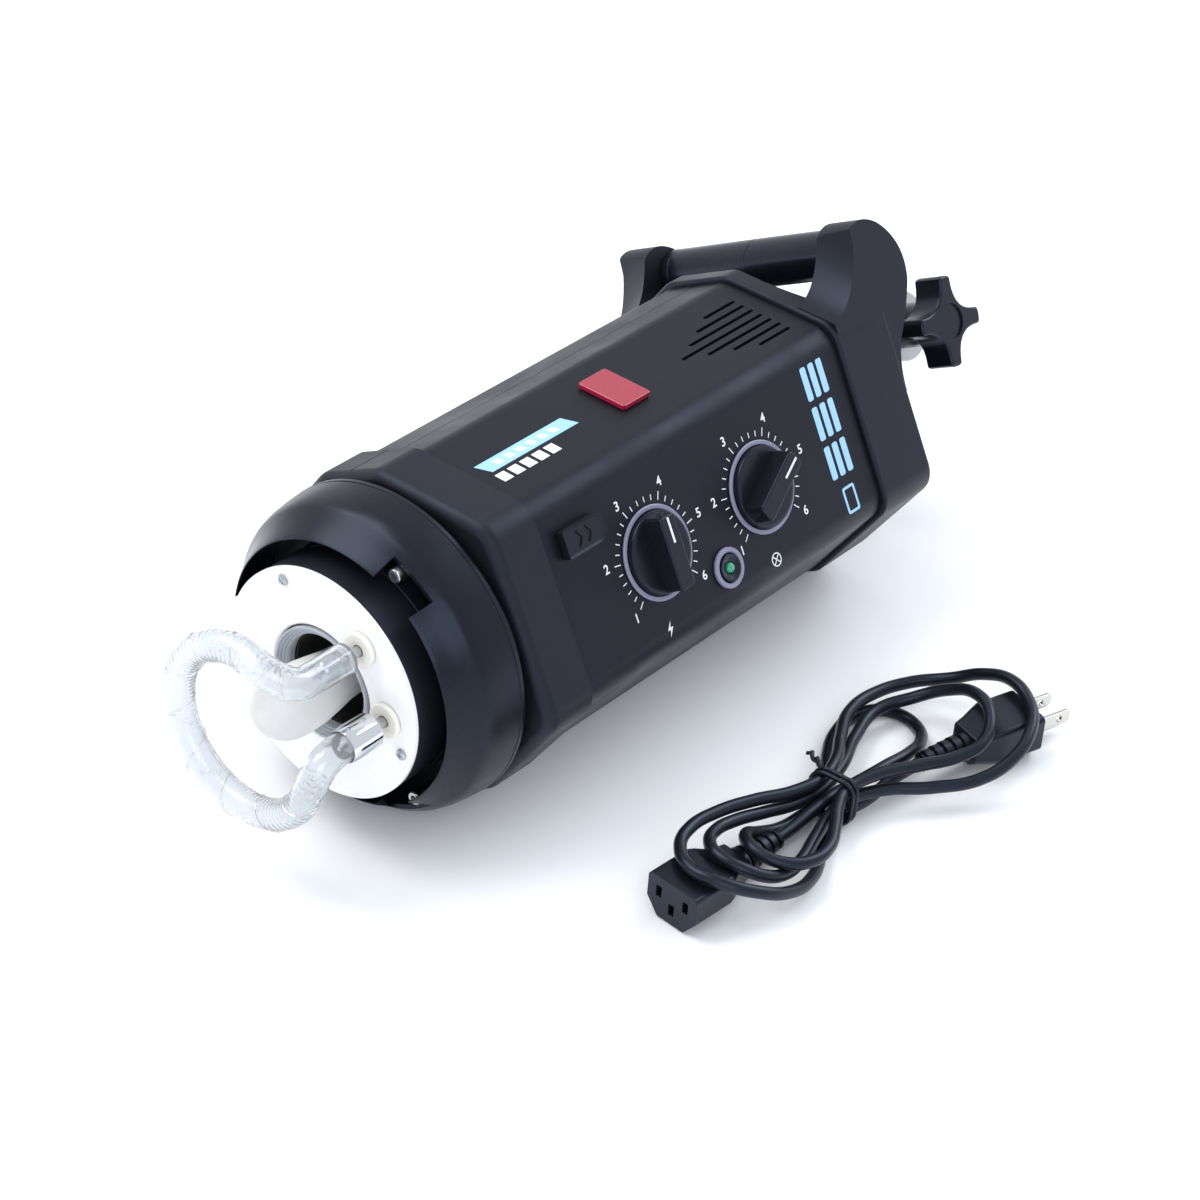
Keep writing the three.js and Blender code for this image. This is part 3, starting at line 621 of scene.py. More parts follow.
def flash_tube():
    line = smooth_line(tube_line())
    fine = smooth_line(tube_line(), 26)

    def ribs(i):
        """The wound quartz swells a little every 2.6 mm, away from its smooth ends."""
        inside = 90 < i < len(fine) - 90
        return 1 - (0.03 * (0.5 - 0.5 * math.cos(math.tau * i / 4.5)) if inside else 0)

    tube = drawn("flash_tube_glass", fine, TUBE_R, resolution=8, swell=ribs)
    bore = drawn("flash_tube_bore", line[1:-1], TUBE_R - 1.3, resolution=6)
    edit(bore)
    bpy.ops.mesh.flip_normals()
    rest()
    tube = joined("flash_tube_glass", tube, bore)
    fitted(tube, quartz, "housing", ["flash_tube"])
    # the trigger wire is wound openly round the whole loop
    coil = []
    span = line[34:-34]
    turns = 9
    for i in range(len(span) * 4):
        f = i / 4
        k = min(int(f), len(span) - 2)
        here = span[k].lerp(span[k + 1], f - k)
        ahead = (span[k + 1] - span[k]).normalized()
        out = Vector((1, 0, 0))
        out = (out - ahead * out.dot(ahead)).normalized()
        side = ahead.cross(out)
        a = math.tau * turns * i / (len(span) * 4)
        coil.append(here + (out * math.cos(a) + side * math.sin(a)) * (TUBE_R + 0.16))
    fitted(drawn("trigger_wire", coil, 0.16, resolution=2), nickel, "housing")
    for z, end in zip(LEG_Z, ("upper", "lower")):
        at = (0, LEG_Y, z)
        electrode = turned(f"tube_electrode_{end}",
            [(9.4, 0), (9.4, 1), (14, 1), (14.3, 3.6), (15, 4.2), (22, 4.2), (23, 3.4),
            (23.4, 1.2), (27, 0.9), (27.4, 0)], centre=at, steps=32)
        fitted(electrode, zinc, "housing")
        pin = turned(f"tube_pin_{end}_stud",
            [(-24, 0), (-24, 2), (-23.6, 2.2), (5, 2.2), (5.2, 2.6), (6.6, 2.6), (6.8, 2.2),
            (8.4, 2.2), (8.7, 1.9), (8.7, 0)], centre=at, steps=32)
        fitted(pin, aluminium, "housing", [f"tube_pin_{end}"])
        socket = turned(f"tube_socket_{end}_body",
            [(-22, 2.6), (-22, 6), (-5, 6), (-5, 5.1), (0.4, 5.1), (0.4, 7.2), (0.7, 7.5),
            (2, 7.5), (2.5, 7), (2.6, 6.2), (2.6, 4.2), (2.2, 3.6), (2.2, 2.6)],
            centre=at, steps=48, ring=True)
        fitted(socket, steatite, "housing", [f"tube_socket_{end}"])
    sleeve = turned("trigger_sleeve_shell",
        [(9.6, 6.8), (9.6, 7.2), (10, 7.4), (21, 7.5), (24, 7.2), (25, 6.8)],
        centre=(0, LEG_Y, LEG_Z[1]), steps=64, ring=True)
    fitted(sleeve, chrome, "housing", ["trigger_sleeve"])


# ---------------------------------------------------------------- bezel and covers
def bezel():
    body = pressed("front_bezel_moulding", octagon(HALF), "X", -71, -46)
    edit(body, lambda c, n: n.x > 0.9)
    bpy.ops.mesh.bevel(offset=5 * MM, segments=6, affect="EDGES", clamp_overlap=True)
    rest()
    hollow = pressed("hollow", octagon(HALF - 5.4, 9, 8), "X", -75, -56)
    bore = turned("bore", [(-80, 0), (-80, 61), (-40, 61), (-40, 0)], steps=144)
    parting = pressed("line", [(-0.25, 69.6), (0.25, 69.6), (0.25, 72), (-0.25, 72)], "X", -72, -40)
    carved(body, hollow, bore, parting)
    eased(body, 0.4, 2, 40)
    fitted(body, moulded_abs, "housing", ["front_bezel"], smooth=40)


VENTS = [54 - 11 * abs(i - 3) for i in range(7)]
SLANT_UP = Matrix.Rotation(-ROLL, 4, "X")


def slot_cutter(x0, x1, across, width, side):
    """A slot with round ends, upright on the upper slanted face of one side."""
    r, y = width / 2, across * side
    outline = rounded([(x0, y - r), (x1, y - r), (x1, y + r), (x0, y + r)], r * 0.98, 5)
    return moved(pressed("slot", outline, "Z", 60, 75), Matrix.Rotation(-ROLL * side, 4, "X"))


def cover(name, node, sign):
    outer = [(y, z) for y, z in octagon(FACE) if y * sign > 0.2]
    inner = [(y, z) for y, z in octagon(FACE - 2.5, 10.5, 9.5) if y * sign > 0.2]
    # both runs start at the bottom seam and go up round the side to the top seam
    def from_bottom(points):
        return sorted(points, key=lambda p: math.atan2(p[0] * sign, -p[1]))
    seam = 0.2 * sign
    outline = ([(seam, -FACE)] + from_bottom(outer) + [(seam, FACE)]
        + [(seam, FACE - 2.5)] + from_bottom(inner)[::-1] + [(seam, -FACE + 2.5)])
    shell = pressed(name, outline, "X", -265.7, -71.3)
    cutters = [slot_cutter(-256, -256 + length, -3.5 + 5 * i, 1.7, sign)
        for i, length in enumerate(VENTS)]
    if sign > 0:
        for x, z, radius in [(x, DIAL_Z, 3.4) for x, _ in DIALS.values()] + [(BUTTON_X, BUTTON_Z, 6.2)]:
            cutters.append(turned("bore", [(60, 0), (60, radius), (72, radius), (72, 0)], axis="Y",
                centre=(x, 0, z), steps=48))
        low, high = SLIDE_X - 11, SLIDE_X + 5
        cutters.append(pressed("slot", [(low, SLIDE_Z - 2.2), (high, SLIDE_Z - 2.2), (high, SLIDE_Z + 2.2),
            (low, SLIDE_Z + 2.2)], "Y", 60, 72))
    carved(shell, *cutters)
    eased(shell, 0.3, 2, 40)
    fitted(shell, cover_paint, "housing", [node], smooth=40)


# ---------------------------------------------------------------- panel
DIALS = {"power": (-129.8, 0), "lamp": (-197.8, 60)}
DIAL_Z = -2.7


def about_dial(x, clockwise):
    """Turns lamp coordinates about a dial's axis, clockwise as seen from outside."""
    return (Matrix.Translation((x, 0, DIAL_Z)) @ Matrix.Rotation(-math.radians(clockwise), 4, "Y"))


def dial(name, x, setting):
    ring = turned(f"{name}_scale_ring",
        [(0.3, 17.8), (0.9, 17.8), (1.1, 18.1), (1.1, 19.3), (0.8, 19.7), (0.3, 19.7)],
        axis="Y", centre=(x, FACE, DIAL_Z), steps=96, ring=True)
    fitted(ring, lavender_abs, "housing", [f"{name}_ring"])
    disc = turned("disc", [(-15, 0), (-15, 3), (0.3, 3), (0.3, 17.2), (0.6, 17.4), (2.4, 17.3),
        (3, 16.9), (3.2, 16.2), (3.3, 15), (3.1, 14.4), (3.1, 0)], axis="Y", steps=96)
    half = 5.4
    outline = rounded([(half, -16.2), (half, 16.2), (-half, 16.2), (-half, -16.2)], 2.2, 5)
    grip = pressed("grip", outline, "Y", 2.4, GRIP_HIGH)
    edit(grip, lambda c, n: n.y > 0.9)
    bpy.ops.transform.resize(value=(0.8, 1, 0.96))
    rest()
    eased(grip, 0.7, 3, 40)
    apply(disc, "BOOLEAN", operation="UNION", solver="EXACT", object=grip)
    bpy.data.objects.remove(grip)
    place = Matrix.Translation((0, FACE, 0)) @ about_dial(x, setting)
    moved(disc, place)
    disc.name = f"{name}_dial_knob"
    fitted(disc, smooth_abs, f"{name}_dial_body", [f"{name}_dial"])
    mark = pressed(f"{name}_dial_pointer", rounded([(-0.55, 4), (0.55, 4), (0.55, 14.9), (-0.55,
        14.9)], 0.3, 3),
        "Y", GRIP_HIGH - 0.1, GRIP_HIGH + 0.06)
    moved(mark, place)
    fitted(mark, white_ink, f"{name}_dial_body", smooth=0)


GRIP_HIGH = 12.0


def lettering(text, size):
    """A numeral lying in (x, y), standing a little off the surface, as a mesh."""
    rest()
    bpy.ops.object.text_add(location=(0, 0, 0))
    obj = bpy.context.active_object
    obj.data.body = text
    obj.data.size = size * MM
    obj.data.extrude = 0.03 * MM
    obj.data.offset = 0.00008
    obj.data.align_x = "CENTER"
    obj.data.align_y = "CENTER"
    obj.data.resolution_u = 4
    bpy.ops.object.convert(target="MESH")
    return bpy.context.active_object


# reading direction runs rearwards along the panel, letters upright, faces outwards
ON_PANEL = Matrix(((-1, 0, 0, 0), (0, 0, 1, FACE + 0.03), (0, 1, 0, 0), (0, 0, 0, 1)))


def scales():
    """Six numbers round each dial with four short marks between, screen printed."""
    prints = []
    for x, _ in DIALS.values():
        for step in range(26):
            angle = -133 + 266 * step / 25
            long = step % 5 == 0
            tick = pressed("tick", [(-0.22, 21.3), (0.22, 21.3), (0.22, 24.8 if long else 23.6),
                (-0.22, 24.8 if long else 23.6)], "Y", FACE, FACE + 0.06)
            prints.append(moved(tick, about_dial(x, angle)))
        for n in range(6):
            angle = math.radians(-133 + 266 * n / 5)
            spot = (x - 29.4 * math.sin(angle), 0, DIAL_Z + 28.6 * math.cos(angle))
            prints.append(moved(lettering(str(n + 1), 5.6), Matrix.Translation(spot) @ ON_PANEL))
    # generic signs under the dials: a bolt for the flash, a crossed circle for the lamp
    bolt = [(1.2, 3.2), (-1.6, -0.3), (0.1, -0.3), (-1.0, -3.2), (1.9, 0.5), (0.2, 0.5)]
    x = DIALS["power"][0]
    prints.append(pressed("bolt", [(x + 6 - a, DIAL_Z - 31 + b) for a, b in bolt], "Y", FACE, FACE + 0.06))
    x = DIALS["lamp"][0]
    sign = turned("sign", [(FACE, 2.5), (FACE + 0.06, 2.5), (FACE + 0.06, 3), (FACE, 3)], axis="Y",
        centre=(x + 4, 0, DIAL_Z - 31), steps=32, ring=True)
    prints.append(sign)
    for turn in (45, 135):
        bar = pressed("bar", [(-0.25, -2.6), (0.25, -2.6), (0.25, 2.6), (-0.25, 2.6)], "Y", FACE,
            FACE + 0.05)
        moved(bar, Matrix.Translation((x + 4, 0,
            DIAL_Z - 31)) @ Matrix.Rotation(math.radians(turn), 4, "Y"))
        prints.append(bar)
    fitted(joined("panel_scales", *prints), white_ink, "housing", smooth=0)


def stripes():
    """Plain printed bars where a maker would sign the lamp."""
    bars = []
    for z in (25.5, 7.5, -10.5):
        for k in range(3):
            low, high = -255 + k * 5.4, -255 + k * 5.4 + 3.6
            outline = [(low, z - 7.5), (high, z - 7.5), (high, z + 7.5), (low, z + 7.5)]
            bars.append(pressed("bar", rounded(outline, 1, 4), "Y", FACE, FACE + 0.06))
    frame_out = rounded([(-252, -35), (-244, -35), (-244, -23), (-252, -23)], 1.2, 4)
    block = pressed("square", frame_out, "Y", FACE, FACE + 0.06)
    hole = pressed("hole", rounded([(-250.8, -33.8), (-245.2, -33.8), (-245.2, -24.2), (-250.8,
        -24.2)], 0.6, 4),
        "Y", FACE - 1, FACE + 1)
    bars.append(carved(block, hole))
    lower = [(-79, 5.5), (-131, 5.5), (-134, 13), (-82, 13)]
    bars.append(moved(pressed("bar", lower, "Z", FACE, FACE + 0.06), SLANT_UP))
    fitted(joined("panel_blue_bars", *bars), blue_ink, "housing", smooth=0)
    white = []
    for k in range(5):
        x = -80.5 - k * 7.2
        white.append(moved(pressed("bar", [(x, 15.2), (x - 5.2, 15.2), (x - 5.2, 21), (x, 21)], "Z",
            FACE, FACE + 0.06), SLANT_UP))
    for k in range(6):
        x = -87 - k * 6.6
        white.append(moved(pressed("bar", [(x, 7.6), (x - 3.6, 7.6), (x - 4.6, 11), (x - 1, 11)], "Z",
            FACE + 0.06, FACE + 0.1), SLANT_UP))
    fitted(joined("panel_white_bars", *white), white_ink, "housing", smooth=0)


BUTTON_X, BUTTON_Z = -165.2, -24.9


def test_button():
    at = (BUTTON_X, FACE, BUTTON_Z)
    ring = turned("button_bezel", [(0.3, 6.4), (1.3, 6.4), (1.6, 6.8), (1.6, 8.2), (1.2, 8.6), (0.3, 8.6)],
        axis="Y", centre=at, steps=64, ring=True)
    fitted(ring, lavender_abs, "housing", ["button_ring"])
    cap = turned("test_button_cap",
        [(-6, 0), (-6, 5.9), (1.9, 5.9), (2.2, 5.6), (2.2, 5), (1.5, 3.6), (1.3, 2.7),
        (-2, 2.7), (-2, 0)], axis="Y", centre=at, steps=64)
    fitted(cap, smooth_abs, "test_button_body", ["test_button"])
    lens = turned("ready_lamp_lens",
        [(-1.6, 0), (-1.6, 2.3), (1.4, 2.3), (2.1, 1.9), (2.6, 1.2), (2.8, 0)],
        axis="Y", centre=at, steps=32)
    fitted(lens, green_epoxy, "test_button_body", ["ready_lamp"])


SLIDE_X, SLIDE_Z = -92, 21


def release_slide():
    outline = rounded([(SLIDE_X - 13, SLIDE_Z + 6), (SLIDE_X - 13, SLIDE_Z - 6),
        (SLIDE_X + 11, SLIDE_Z - 6), (SLIDE_X + 11, SLIDE_Z + 6)], [5.8, 5.8, 1, 1])
    body = pressed("release_slide_cap", outline, "Y", FACE + 0.3, FACE + 4.2)
    edit(body, lambda c, n: n.y > 0.9)
    bpy.ops.mesh.inset(thickness=1.1 * MM)
    bpy.ops.transform.translate(value=(0, -0.8 * MM, 0))
    rest()
    eased(body, 0.3, 2, 40)
    extras = []
    for k in (-1, 1):
        x = SLIDE_X - 1.5 + 2.8 * k
        chevron = [(x + 2.4, SLIDE_Z + 3.4), (x + 0.9, SLIDE_Z + 3.4), (x - 1.5, SLIDE_Z),
            (x + 0.9, SLIDE_Z - 3.4), (x + 2.4, SLIDE_Z - 3.4), (x, SLIDE_Z)]
        extras.append(eased(pressed("chevron", chevron, "Y", FACE + 3, FACE + 4), 0.2, 2))
    neck = pressed("neck", [(SLIDE_X - 4, SLIDE_Z - 1.8), (SLIDE_X + 4, SLIDE_Z - 1.8),
        (SLIDE_X + 4, SLIDE_Z + 1.8), (SLIDE_X - 4, SLIDE_Z + 1.8)], "Y", FACE - 5, FACE + 1)
    body = joined("release_slide_cap", body, neck, *extras)
    fitted(body, moulded_abs, "release_slide_body", ["release_slide"])


def slave_window():
    outline = rounded([(-170.5, -4.5), (-153.5, -4.5), (-153.5, 20.5), (-170.5, 20.5)], 1.2, 4)
    block = pressed("slave_window_lens", outline, "Z", FACE + 0.3, FACE + 2.6)
    eased(block, 0.4, 3, 35)
    moved(block, SLANT_UP)
    fitted(block, red_plastic, "housing", ["slave_window"])


# ---------------------------------------------------------------- rear
def handle():
    profile = [(-51.7, 0), (-51.7, 10.6), (-51.3, 11), (-48, 11), (-47.6, 10.7), (-47.2, 11)]
    profile += [(0 - 0.4, 11.05), (-0.2, 10.8), (0.2, 10.8), (0.4, 11.05)]
    profile += [(47.2, 11), (47.6, 10.7), (48, 11), (51.3, 11), (51.7, 10.6), (51.7, 0)]
    bar = turned("handle_grip", profile, axis="Y", centre=(-309, 0, 62), steps=72)
    fitted(bar, smooth_abs, "housing", ["handle_bar"])


PIVOT = (-352, 13)
KNOB_R = 20.5


def star_knob():
    outline = []
    for i in range(4):
        tip = math.radians(90 * i + 12)
        def polar(r, a):
            return Vector((PIVOT[0] + r * math.cos(a), PIVOT[1] + r * math.sin(a)))
        for k in range(-4, 5):
            outline.append(tuple(polar(KNOB_R - 0.25 * (abs(k) / 4) ** 4 * 3, tip + 0.19 * k / 4)))
        a, b = polar(KNOB_R, tip + 0.19), polar(KNOB_R, tip + math.pi / 2 - 0.19)
        mid = polar(4.5, tip + math.pi / 4)
        for k in range(1, 14):
            t = k / 14
            outline.append(tuple(a * (1 - t) ** 2 + mid * 2 * t * (1 - t) + b * t * t))
    star = pressed("star_knob_body", outline, "Y", 45, 60)
    edit(star, lambda c, n: abs(n.y) > 0.9)
    bpy.ops.mesh.bevel(offset=1.3 * MM, segments=4, affect="EDGES", clamp_overlap=True)
    rest()
    centre = (PIVOT[0], 0, PIVOT[1])
    dish = turned("dish", [(59, 0), (59, 8), (62, 8.4), (62, 0)], axis="Y", centre=centre, steps=64)
    bore = turned("bore", [(30, 0), (30, 4.3), (48, 4.3), (48, 0)], axis="Y", centre=centre, steps=32)
    neck = turned("neck", [(33.2, 4.4), (33.2, 9.6), (33.6, 10), (44, 10), (46, 11), (46, 4.4)], axis="Y",
        centre=centre, steps=64, ring=True)
    carved(star, dish, bore)
    fitted(joined("star_knob_body", star, neck), smooth_abs, "tilt_knob", ["star_knob"])


CASTING_FRONT, CASTING_REAR = -266, -300
EAR_INNER, EAR_OUTER = 52, 69.6
BAR = (-309, 62)


def swept(start, *runs, steps=12):
    """An outline from straight runs (one point) and curved runs (a pull point and an end)."""
    out = [start]
    for run in runs:
        here = Vector(out[-1])
        if len(run) == 1:
            out.append(run[0])
            continue
        pull, end = Vector(run[0]), Vector(run[1])
        out += [tuple(here * (1 - t) ** 2 + pull * 2 * t * (1 - t) + end * t * t)
            for t in [k / steps for k in range(1, steps + 1)]]
    return out


def handle_ear(sign):
    """One ear, its foot running out into the slanted face of the casting."""
    outline = swept((-268, 30), ((-268, 56),), ((-284, 62), (-291, 74)), ((-300, 82), (-312, 73)),
        ((-326, 60), (-321, 44)), ((-315, 32), (-306, 22)), ((-300, 12), (-299.8, 0)), ((-285, 0),))
    low, high = sorted((EAR_INNER * sign, EAR_OUTER * sign))
    ear = pressed("ear", outline, "Y", low, high)
    ramp = swept((-250, 70.4), ((-268, 70.4),), ((-284, 73), (-293, 93)), ((-297, 120),), ((-250, 120),))
    tool = moved(pressed("ramp", ramp, "Y", -40, 90) if sign > 0 else pressed("ramp", ramp, "Y", -90, 40),
        Matrix.Rotation(-ROLL * sign, 4, "X"))
    carved(ear, tool)
    return eased(ear, 2.2, 4, 50)


def rear_casting():
    shell = pressed("rear_casting_shell", octagon(HALF), "X", CASTING_REAR, CASTING_FRONT)
    edit(shell, lambda c, n: abs(n.x) > 0.9)
    bpy.ops.mesh.bevel(offset=1.6 * MM, segments=4, affect="EDGES", clamp_overlap=True)
    rest()
    scoop = swept((-275, 90), ((-275, 63),), ((-278, 42), (-296, 33)), ((-345, 31),), ((-345, 90),))
    carved(shell, pressed("scoop", scoop, "Y", -EAR_INNER, EAR_INNER))
    for sign in (1, -1):
        ear = handle_ear(sign)
        apply(shell, "BOOLEAN", operation="UNION", solver="EXACT", object=ear)
        bpy.data.objects.remove(ear)
    well = [(-42.8, -52), (42.8, -52), (58, -43.9), (58, 22), (-58, 22), (-58, -43.9)]
    window = [(-50, -50), (50, -50), (50, -10), (-50, -10)]
    carved(shell, pressed("mouth", octagon(HALF - 5, 10, 9), "X", -271, -260),
        pressed("well", well, "X", -296, -270), pressed("window", window, "X", -303, -295),
        turned("bore", [(-59, 0), (-59, 5), (59, 5), (59, 0)], axis="Y", centre=(BAR[0], 0, BAR[1]),
        steps=48))
    fitted(shell, moulded_abs, "housing", ["rear_casting"], smooth=40)


def castings():
    """Castings and fittings kept to their drawn shapes, with their edges broken."""
    for node, finish_of, slot, body, width in (
        ("bracket_lugs", powder_coat, "ring_coat", "housing", 0.8),
        ("stand_socket", powder_coat, "ring_coat", "tilt_socket", 0.7),
        ("tilt_bolt", zinc, "zinc_steel", "housing", 0.5),
        ("stand_screw", smooth_abs, "moulded_black", "stand_screw_body", 0.8),
        ("rear_panel", powder_coat, "ring_coat", "housing", 0.3),
        ("mains_inlet", smooth_abs, "knob_black", "housing", 0.5),
        ("switch_frame", smooth_abs, "knob_black", "housing", 0.4),
        ("power_rocker", smooth_abs, "knob_black", "power_rocker_body", 0.5)):
        piece = copy_of(node, f"{node}_cast")
        eased(piece, width, 3, 38)
        fitted(piece, finish_of, body, [node], matrix=Matrix.Identity(4), smooth=40)
    washer = turned("friction_disc", [(30.8, 4.4), (30.8, 15.6), (31.2, 16), (32.4, 16), (32.8,
        15.6), (32.8, 4.4)],
        axis="Y", centre=(PIVOT[0], 0, PIVOT[1]), steps=72, ring=True)
    fitted(washer, aluminium, "housing", ["friction_washer"])


def rear_fittings():
    cap = turned("fuse_cap_knob", [(-280, 0), (-280, 6), (-300, 6), (-300, 7.6), (-305, 7.4), (-305.6, 6.8),
        (-306, 6), (-306, 0)], centre=(0, 28, -30), steps=48)
    slot_cut = pressed("slot", [(22, -31), (34, -31), (34, -29), (22, -29)], "X", -308, -304.6)
    carved(cap, slot_cut)
    fitted(cap, smooth_abs, "housing", ["fuse_cap"])
    jack = turned("sync_jack", [(-284, 0), (-284, 3.9), (-300, 3.9), (-300, 5.6), (-302.2, 5.6),
        (-302.5, 5.3),
        (-302.5, 2.2), (-302, 1.8), (-290, 1.8), (-290, 0)], centre=(0, 42, -30), steps=48)
    fitted(jack, zinc, "housing", ["sync_socket"])
    pins = []
    for y, z in ((-37, -28.5), (-23, -28.5), (-30, -32.5)):
        pins.append(eased(pressed("pin", [(y - 1, z - 2), (y + 1, z - 2), (y + 1, z + 2), (y - 1, z + 2)],
            "X", -298, -285.5), 0.4, 2))
    fitted(joined("inlet_pins", *pins), nickel, "housing")


# ---------------------------------------------------------------- cord pieces
def lying(place):
    """From a cord piece's own coordinates, x towards its mouth, to the row's."""
    return (Matrix.Translation(GROUND_AT + Vector((*place["at"], 0)) * MM)
        @ Matrix.Rotation(math.radians(place["turn"]), 4, "Z"))


def ribbed(name, height, start_x, step, count, big, small, end, place):
    """A moulded strain relief: rings that grow smaller towards the lead."""
    profile = [(start_x, 0), (start_x, big)]
    for k in range(count):
        r = big + (small - big) * (k + 0.5) / count
        x = start_x + step * k
        profile += [(x + step * 0.55, r), (x + step * 0.62, r - 0.3), (x + step * 0.66, r - 1.5),
            (x + step * 0.92, r - 1.5), (x + step * 0.96, r - 0.4)]
    profile += [(end, small), (end + (0.4 if step > 0 else -0.4), small - 0.4),
        (end + (0.4 if step > 0 else -0.4), 0)]
    piece = turned(name, profile, centre=(0, 0, height), steps=48)
    return fitted(piece, pvc, "housing", matrix=lying(place))


def connector():
    outline = rounded([(-13, 20), (-13, 8), (-7, 0.6), (7, 0.6), (13, 8), (13, 20)], [2, 1.5, 1, 1,
        1.5, 2], 4)
    body = pressed("mains_connector_shell", outline, "X", -21, 0)
    edit(body, lambda c, n: n.x < -0.9)
    for step, size in ((3, 0.93), (5, 0.8), (6, 0.86), (3, 0.95)):
        bpy.ops.mesh.extrude_region_move(TRANSFORM_OT_translate={"value": (-step * MM, 0, 0)})
        bpy.ops.transform.resize(value=(1, size, size), center_override=Vector((0, 0, 10)) * MM)
    rest()
    cutters = []
    for y, z in ((-7, 13), (7, 13), (0, 7.5)):
        cutters.append(pressed("slot", [(y - 1.4, z - 2.6), (y + 1.4, z - 2.6), (y + 1.4, z + 2.6),
            (y - 1.4, z + 2.6)], "X", -8, 2))
    carved(body, *cutters)
    eased(body, 0.6, 3, 35)
    shell = fitted(body, pvc, "housing", ["mains_connector"], matrix=lying(CONNECTOR))
    relief = ribbed("connector_relief", 10, -37.5, -4.6, 5, 7, 4.2, -61.6, CONNECTOR)
    return [shell, relief]


def plug():
    outline = rounded([(-12, 22), (-12, 6), (-6, 0.5), (6, 0.5), (12, 6), (12, 22)], 2.5, 4)
    body = pressed("mains_plug_shell", outline, "X", -34, -15)
    edit(body, lambda c, n: n.x > 0.9)
    for step, size in ((4, 0.9), (5, 0.86), (5, 0.88)):
        bpy.ops.mesh.extrude_region_move(TRANSFORM_OT_translate={"value": (step * MM, 0, 0)})
        bpy.ops.transform.resize(value=(1, size, size), center_override=Vector((0, 0, 11)) * MM)
    rest()
    eased(body, 0.8, 3, 35)
    made = [fitted(body, pvc, "housing", ["mains_plug"], matrix=lying(PLUG))]
    made.append(ribbed("plug_relief", 11, -1.4, 4.6, 5, 6.6, 4.2, 21.6, PLUG))
    for y, which in ((-6.3, "line"), (6.3, "neutral")):
        blade = pressed(f"plug_blade_{which}_strip",
            [(-34.3, 10.5), (-50.5, 10.5), (-52, 11.8), (-52, 15.7), (-50.5, 17), (-34.3, 17)],
            "Y", y - 0.8, y + 0.8)
        hole = turned("hole", [(y - 2, 0), (y - 2, 1.5), (y + 2, 1.5), (y + 2, 0)], axis="Y",
            centre=(-46, 0, 13.75), steps=24)
        carved(blade, hole)
        eased(blade, 0.25, 2)
        made.append(fitted(blade, nickel, "housing", [f"plug_blade_{which}"],
            matrix=lying(PLUG)))
    earth = turned("plug_earth_pin", [(-34.3, 0), (-34.3, 2.4), (-51, 2.4), (-53.2, 1.7), (-54,
        0.8), (-54, 0)],
        centre=(0, 0, 6), steps=32)
    made.append(fitted(earth, nickel, "housing", ["plug_pin_earth"], matrix=lying(PLUG)))
    return made


def tie():
    """A soft black wire wrapped twice round the hank, its ends twisted together."""
    made = []
    for k, x in enumerate((-1.2, 1.4)):
        low, high, near, far = 1.25, 21.6 - 0.4 * k, 156.2, 136.2
        corners = rounded([(far, low), (near, low), (near, high), (far, high)], 5.5, 8)
        line = [Vector((TIE_X + x + 1.2 * math.sin(i * 0.22), y, z)) for i, (y, z) in enumerate(corners)]
        made.append(drawn("wrap", line, 1.0, closed=True, resolution=4, caps=False))
    for sign in (1, -1):
        tail = []
        for i in range(22):
            a = i * 0.55 + (0 if sign > 0 else math.pi)
            tail.append(Vector((TIE_X + 0.8 * math.cos(a) - i * 0.16, 139 - i * 0.42 * (1 + 0.15 * sign),
                22.2 + 0.8 * math.sin(a) + min(i, 9) * 0.12)))
        made.append(drawn("tail", tail, 0.8, resolution=4))
    piece = joined("cord_tie_wire", *made)
    return fitted(piece, pvc, "housing", ["cord_tie"], matrix=Matrix.Translation(GROUND_AT))


def dress_cord():
    lead.data.materials.append(pvc)
    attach(lead, "housing")
    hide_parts("mains_cord")
    on_it = connector() + plug() + [tie()]


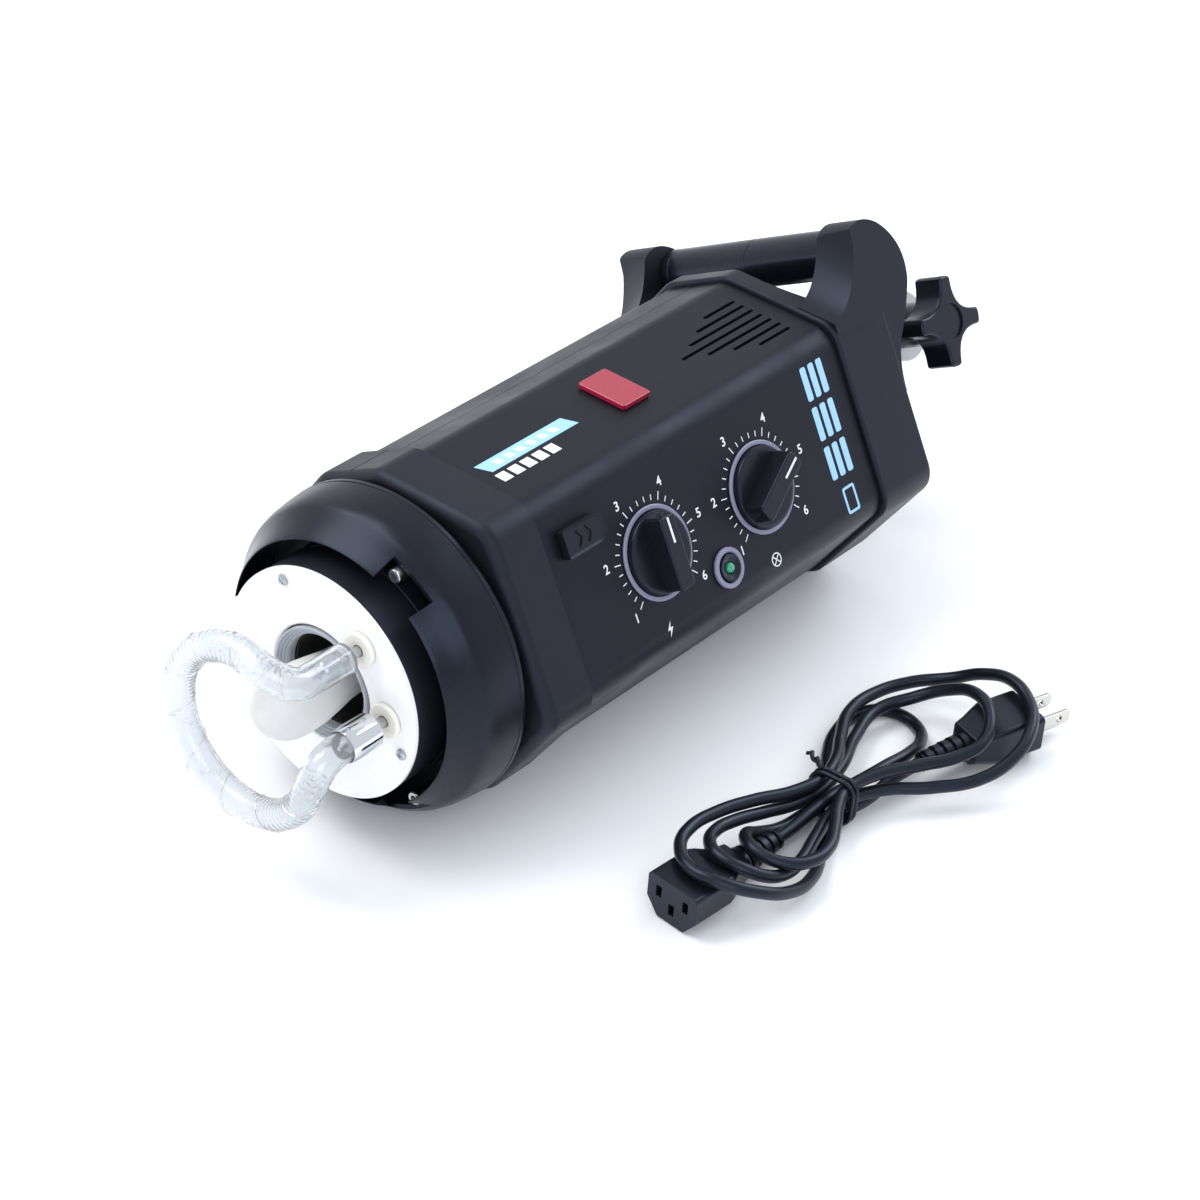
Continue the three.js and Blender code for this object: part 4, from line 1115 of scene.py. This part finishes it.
# ---------------------------------------------------------------- inner parts that stay as drawn
def inner_parts():
    # the main board wears the near-black painted shade of the interior
    for node, material in (("power_pot", zinc), ("lamp_pot", zinc), ("chassis_tray", aluminium),
        ("flash_capacitor_1", smooth_abs), ("flash_capacitor_2", smooth_abs),
        ("trigger_transformer", smooth_abs), ("main_board", shade_black_inside)):
        obj = frame["nodes"][node]
        obj.data.materials.clear()
        obj.data.materials.append(material)


# ---------------------------------------------------------------- floor and light
def studio():
    rest()
    bpy.ops.mesh.primitive_plane_add(size=9, location=(0, 0, 0))
    floor = bpy.context.active_object
    floor.name = "floor"
    paper, tree, shader = finish("Matt white paper", Roughness=0.75)
    cloud = noise(tree, 2.0, 2.0)
    two_tone(tree, shader, cloud, "#f7f8fa", "#fbfbfc")
    floor.data.materials.append(paper)
    world = bpy.data.worlds.new("studio") if bpy.context.scene.world is None else bpy.context.scene.world
    bpy.context.scene.world = world
    world.use_nodes = True
    sky = world.node_tree.nodes["Background"]
    sky.inputs["Color"].default_value = linear("#f4f7fc")
    sky.inputs["Strength"].default_value = 0.95
    for name, at, size, power, tint in (("key", (0.6, -1.1, 1.9), 1.6, 34, "#ffffff"),
        ("fill", (1.6, 1.5, 1.2), 1.4, 14, "#eef3ff"), ("back", (-1.7, 0.4, 1.5), 1.3, 22, "#f3f6ff")):
        data = bpy.data.lights.new(name, "AREA")
        data.size = size
        data.energy = power
        data.color = linear(tint)[:3]
        light = bpy.data.objects.new(name, data)
        light.location = at
        light.rotation_euler = (Vector((0, 0.05, 0.05)) - Vector(at)).to_track_quat("-Z", "Y").to_euler()
        bpy.context.collection.objects.link(light)
    bpy.context.scene.view_settings.view_transform = "Standard"
    bpy.context.scene.view_settings.look = "None"


accessory_ring()
lamp_front()
flash_tube()
bezel()
cover("left_cover_shell", "left_cover", 1)
cover("right_cover_shell", "right_cover", -1)
for dial_name, (dial_x, setting) in DIALS.items():
    dial(dial_name, dial_x, setting)
scales()
stripes()
test_button()
release_slide()
slave_window()
handle()
star_knob()
rear_casting()
castings()
rear_fittings()
dress_cord()
inner_parts()
studio()
rest()
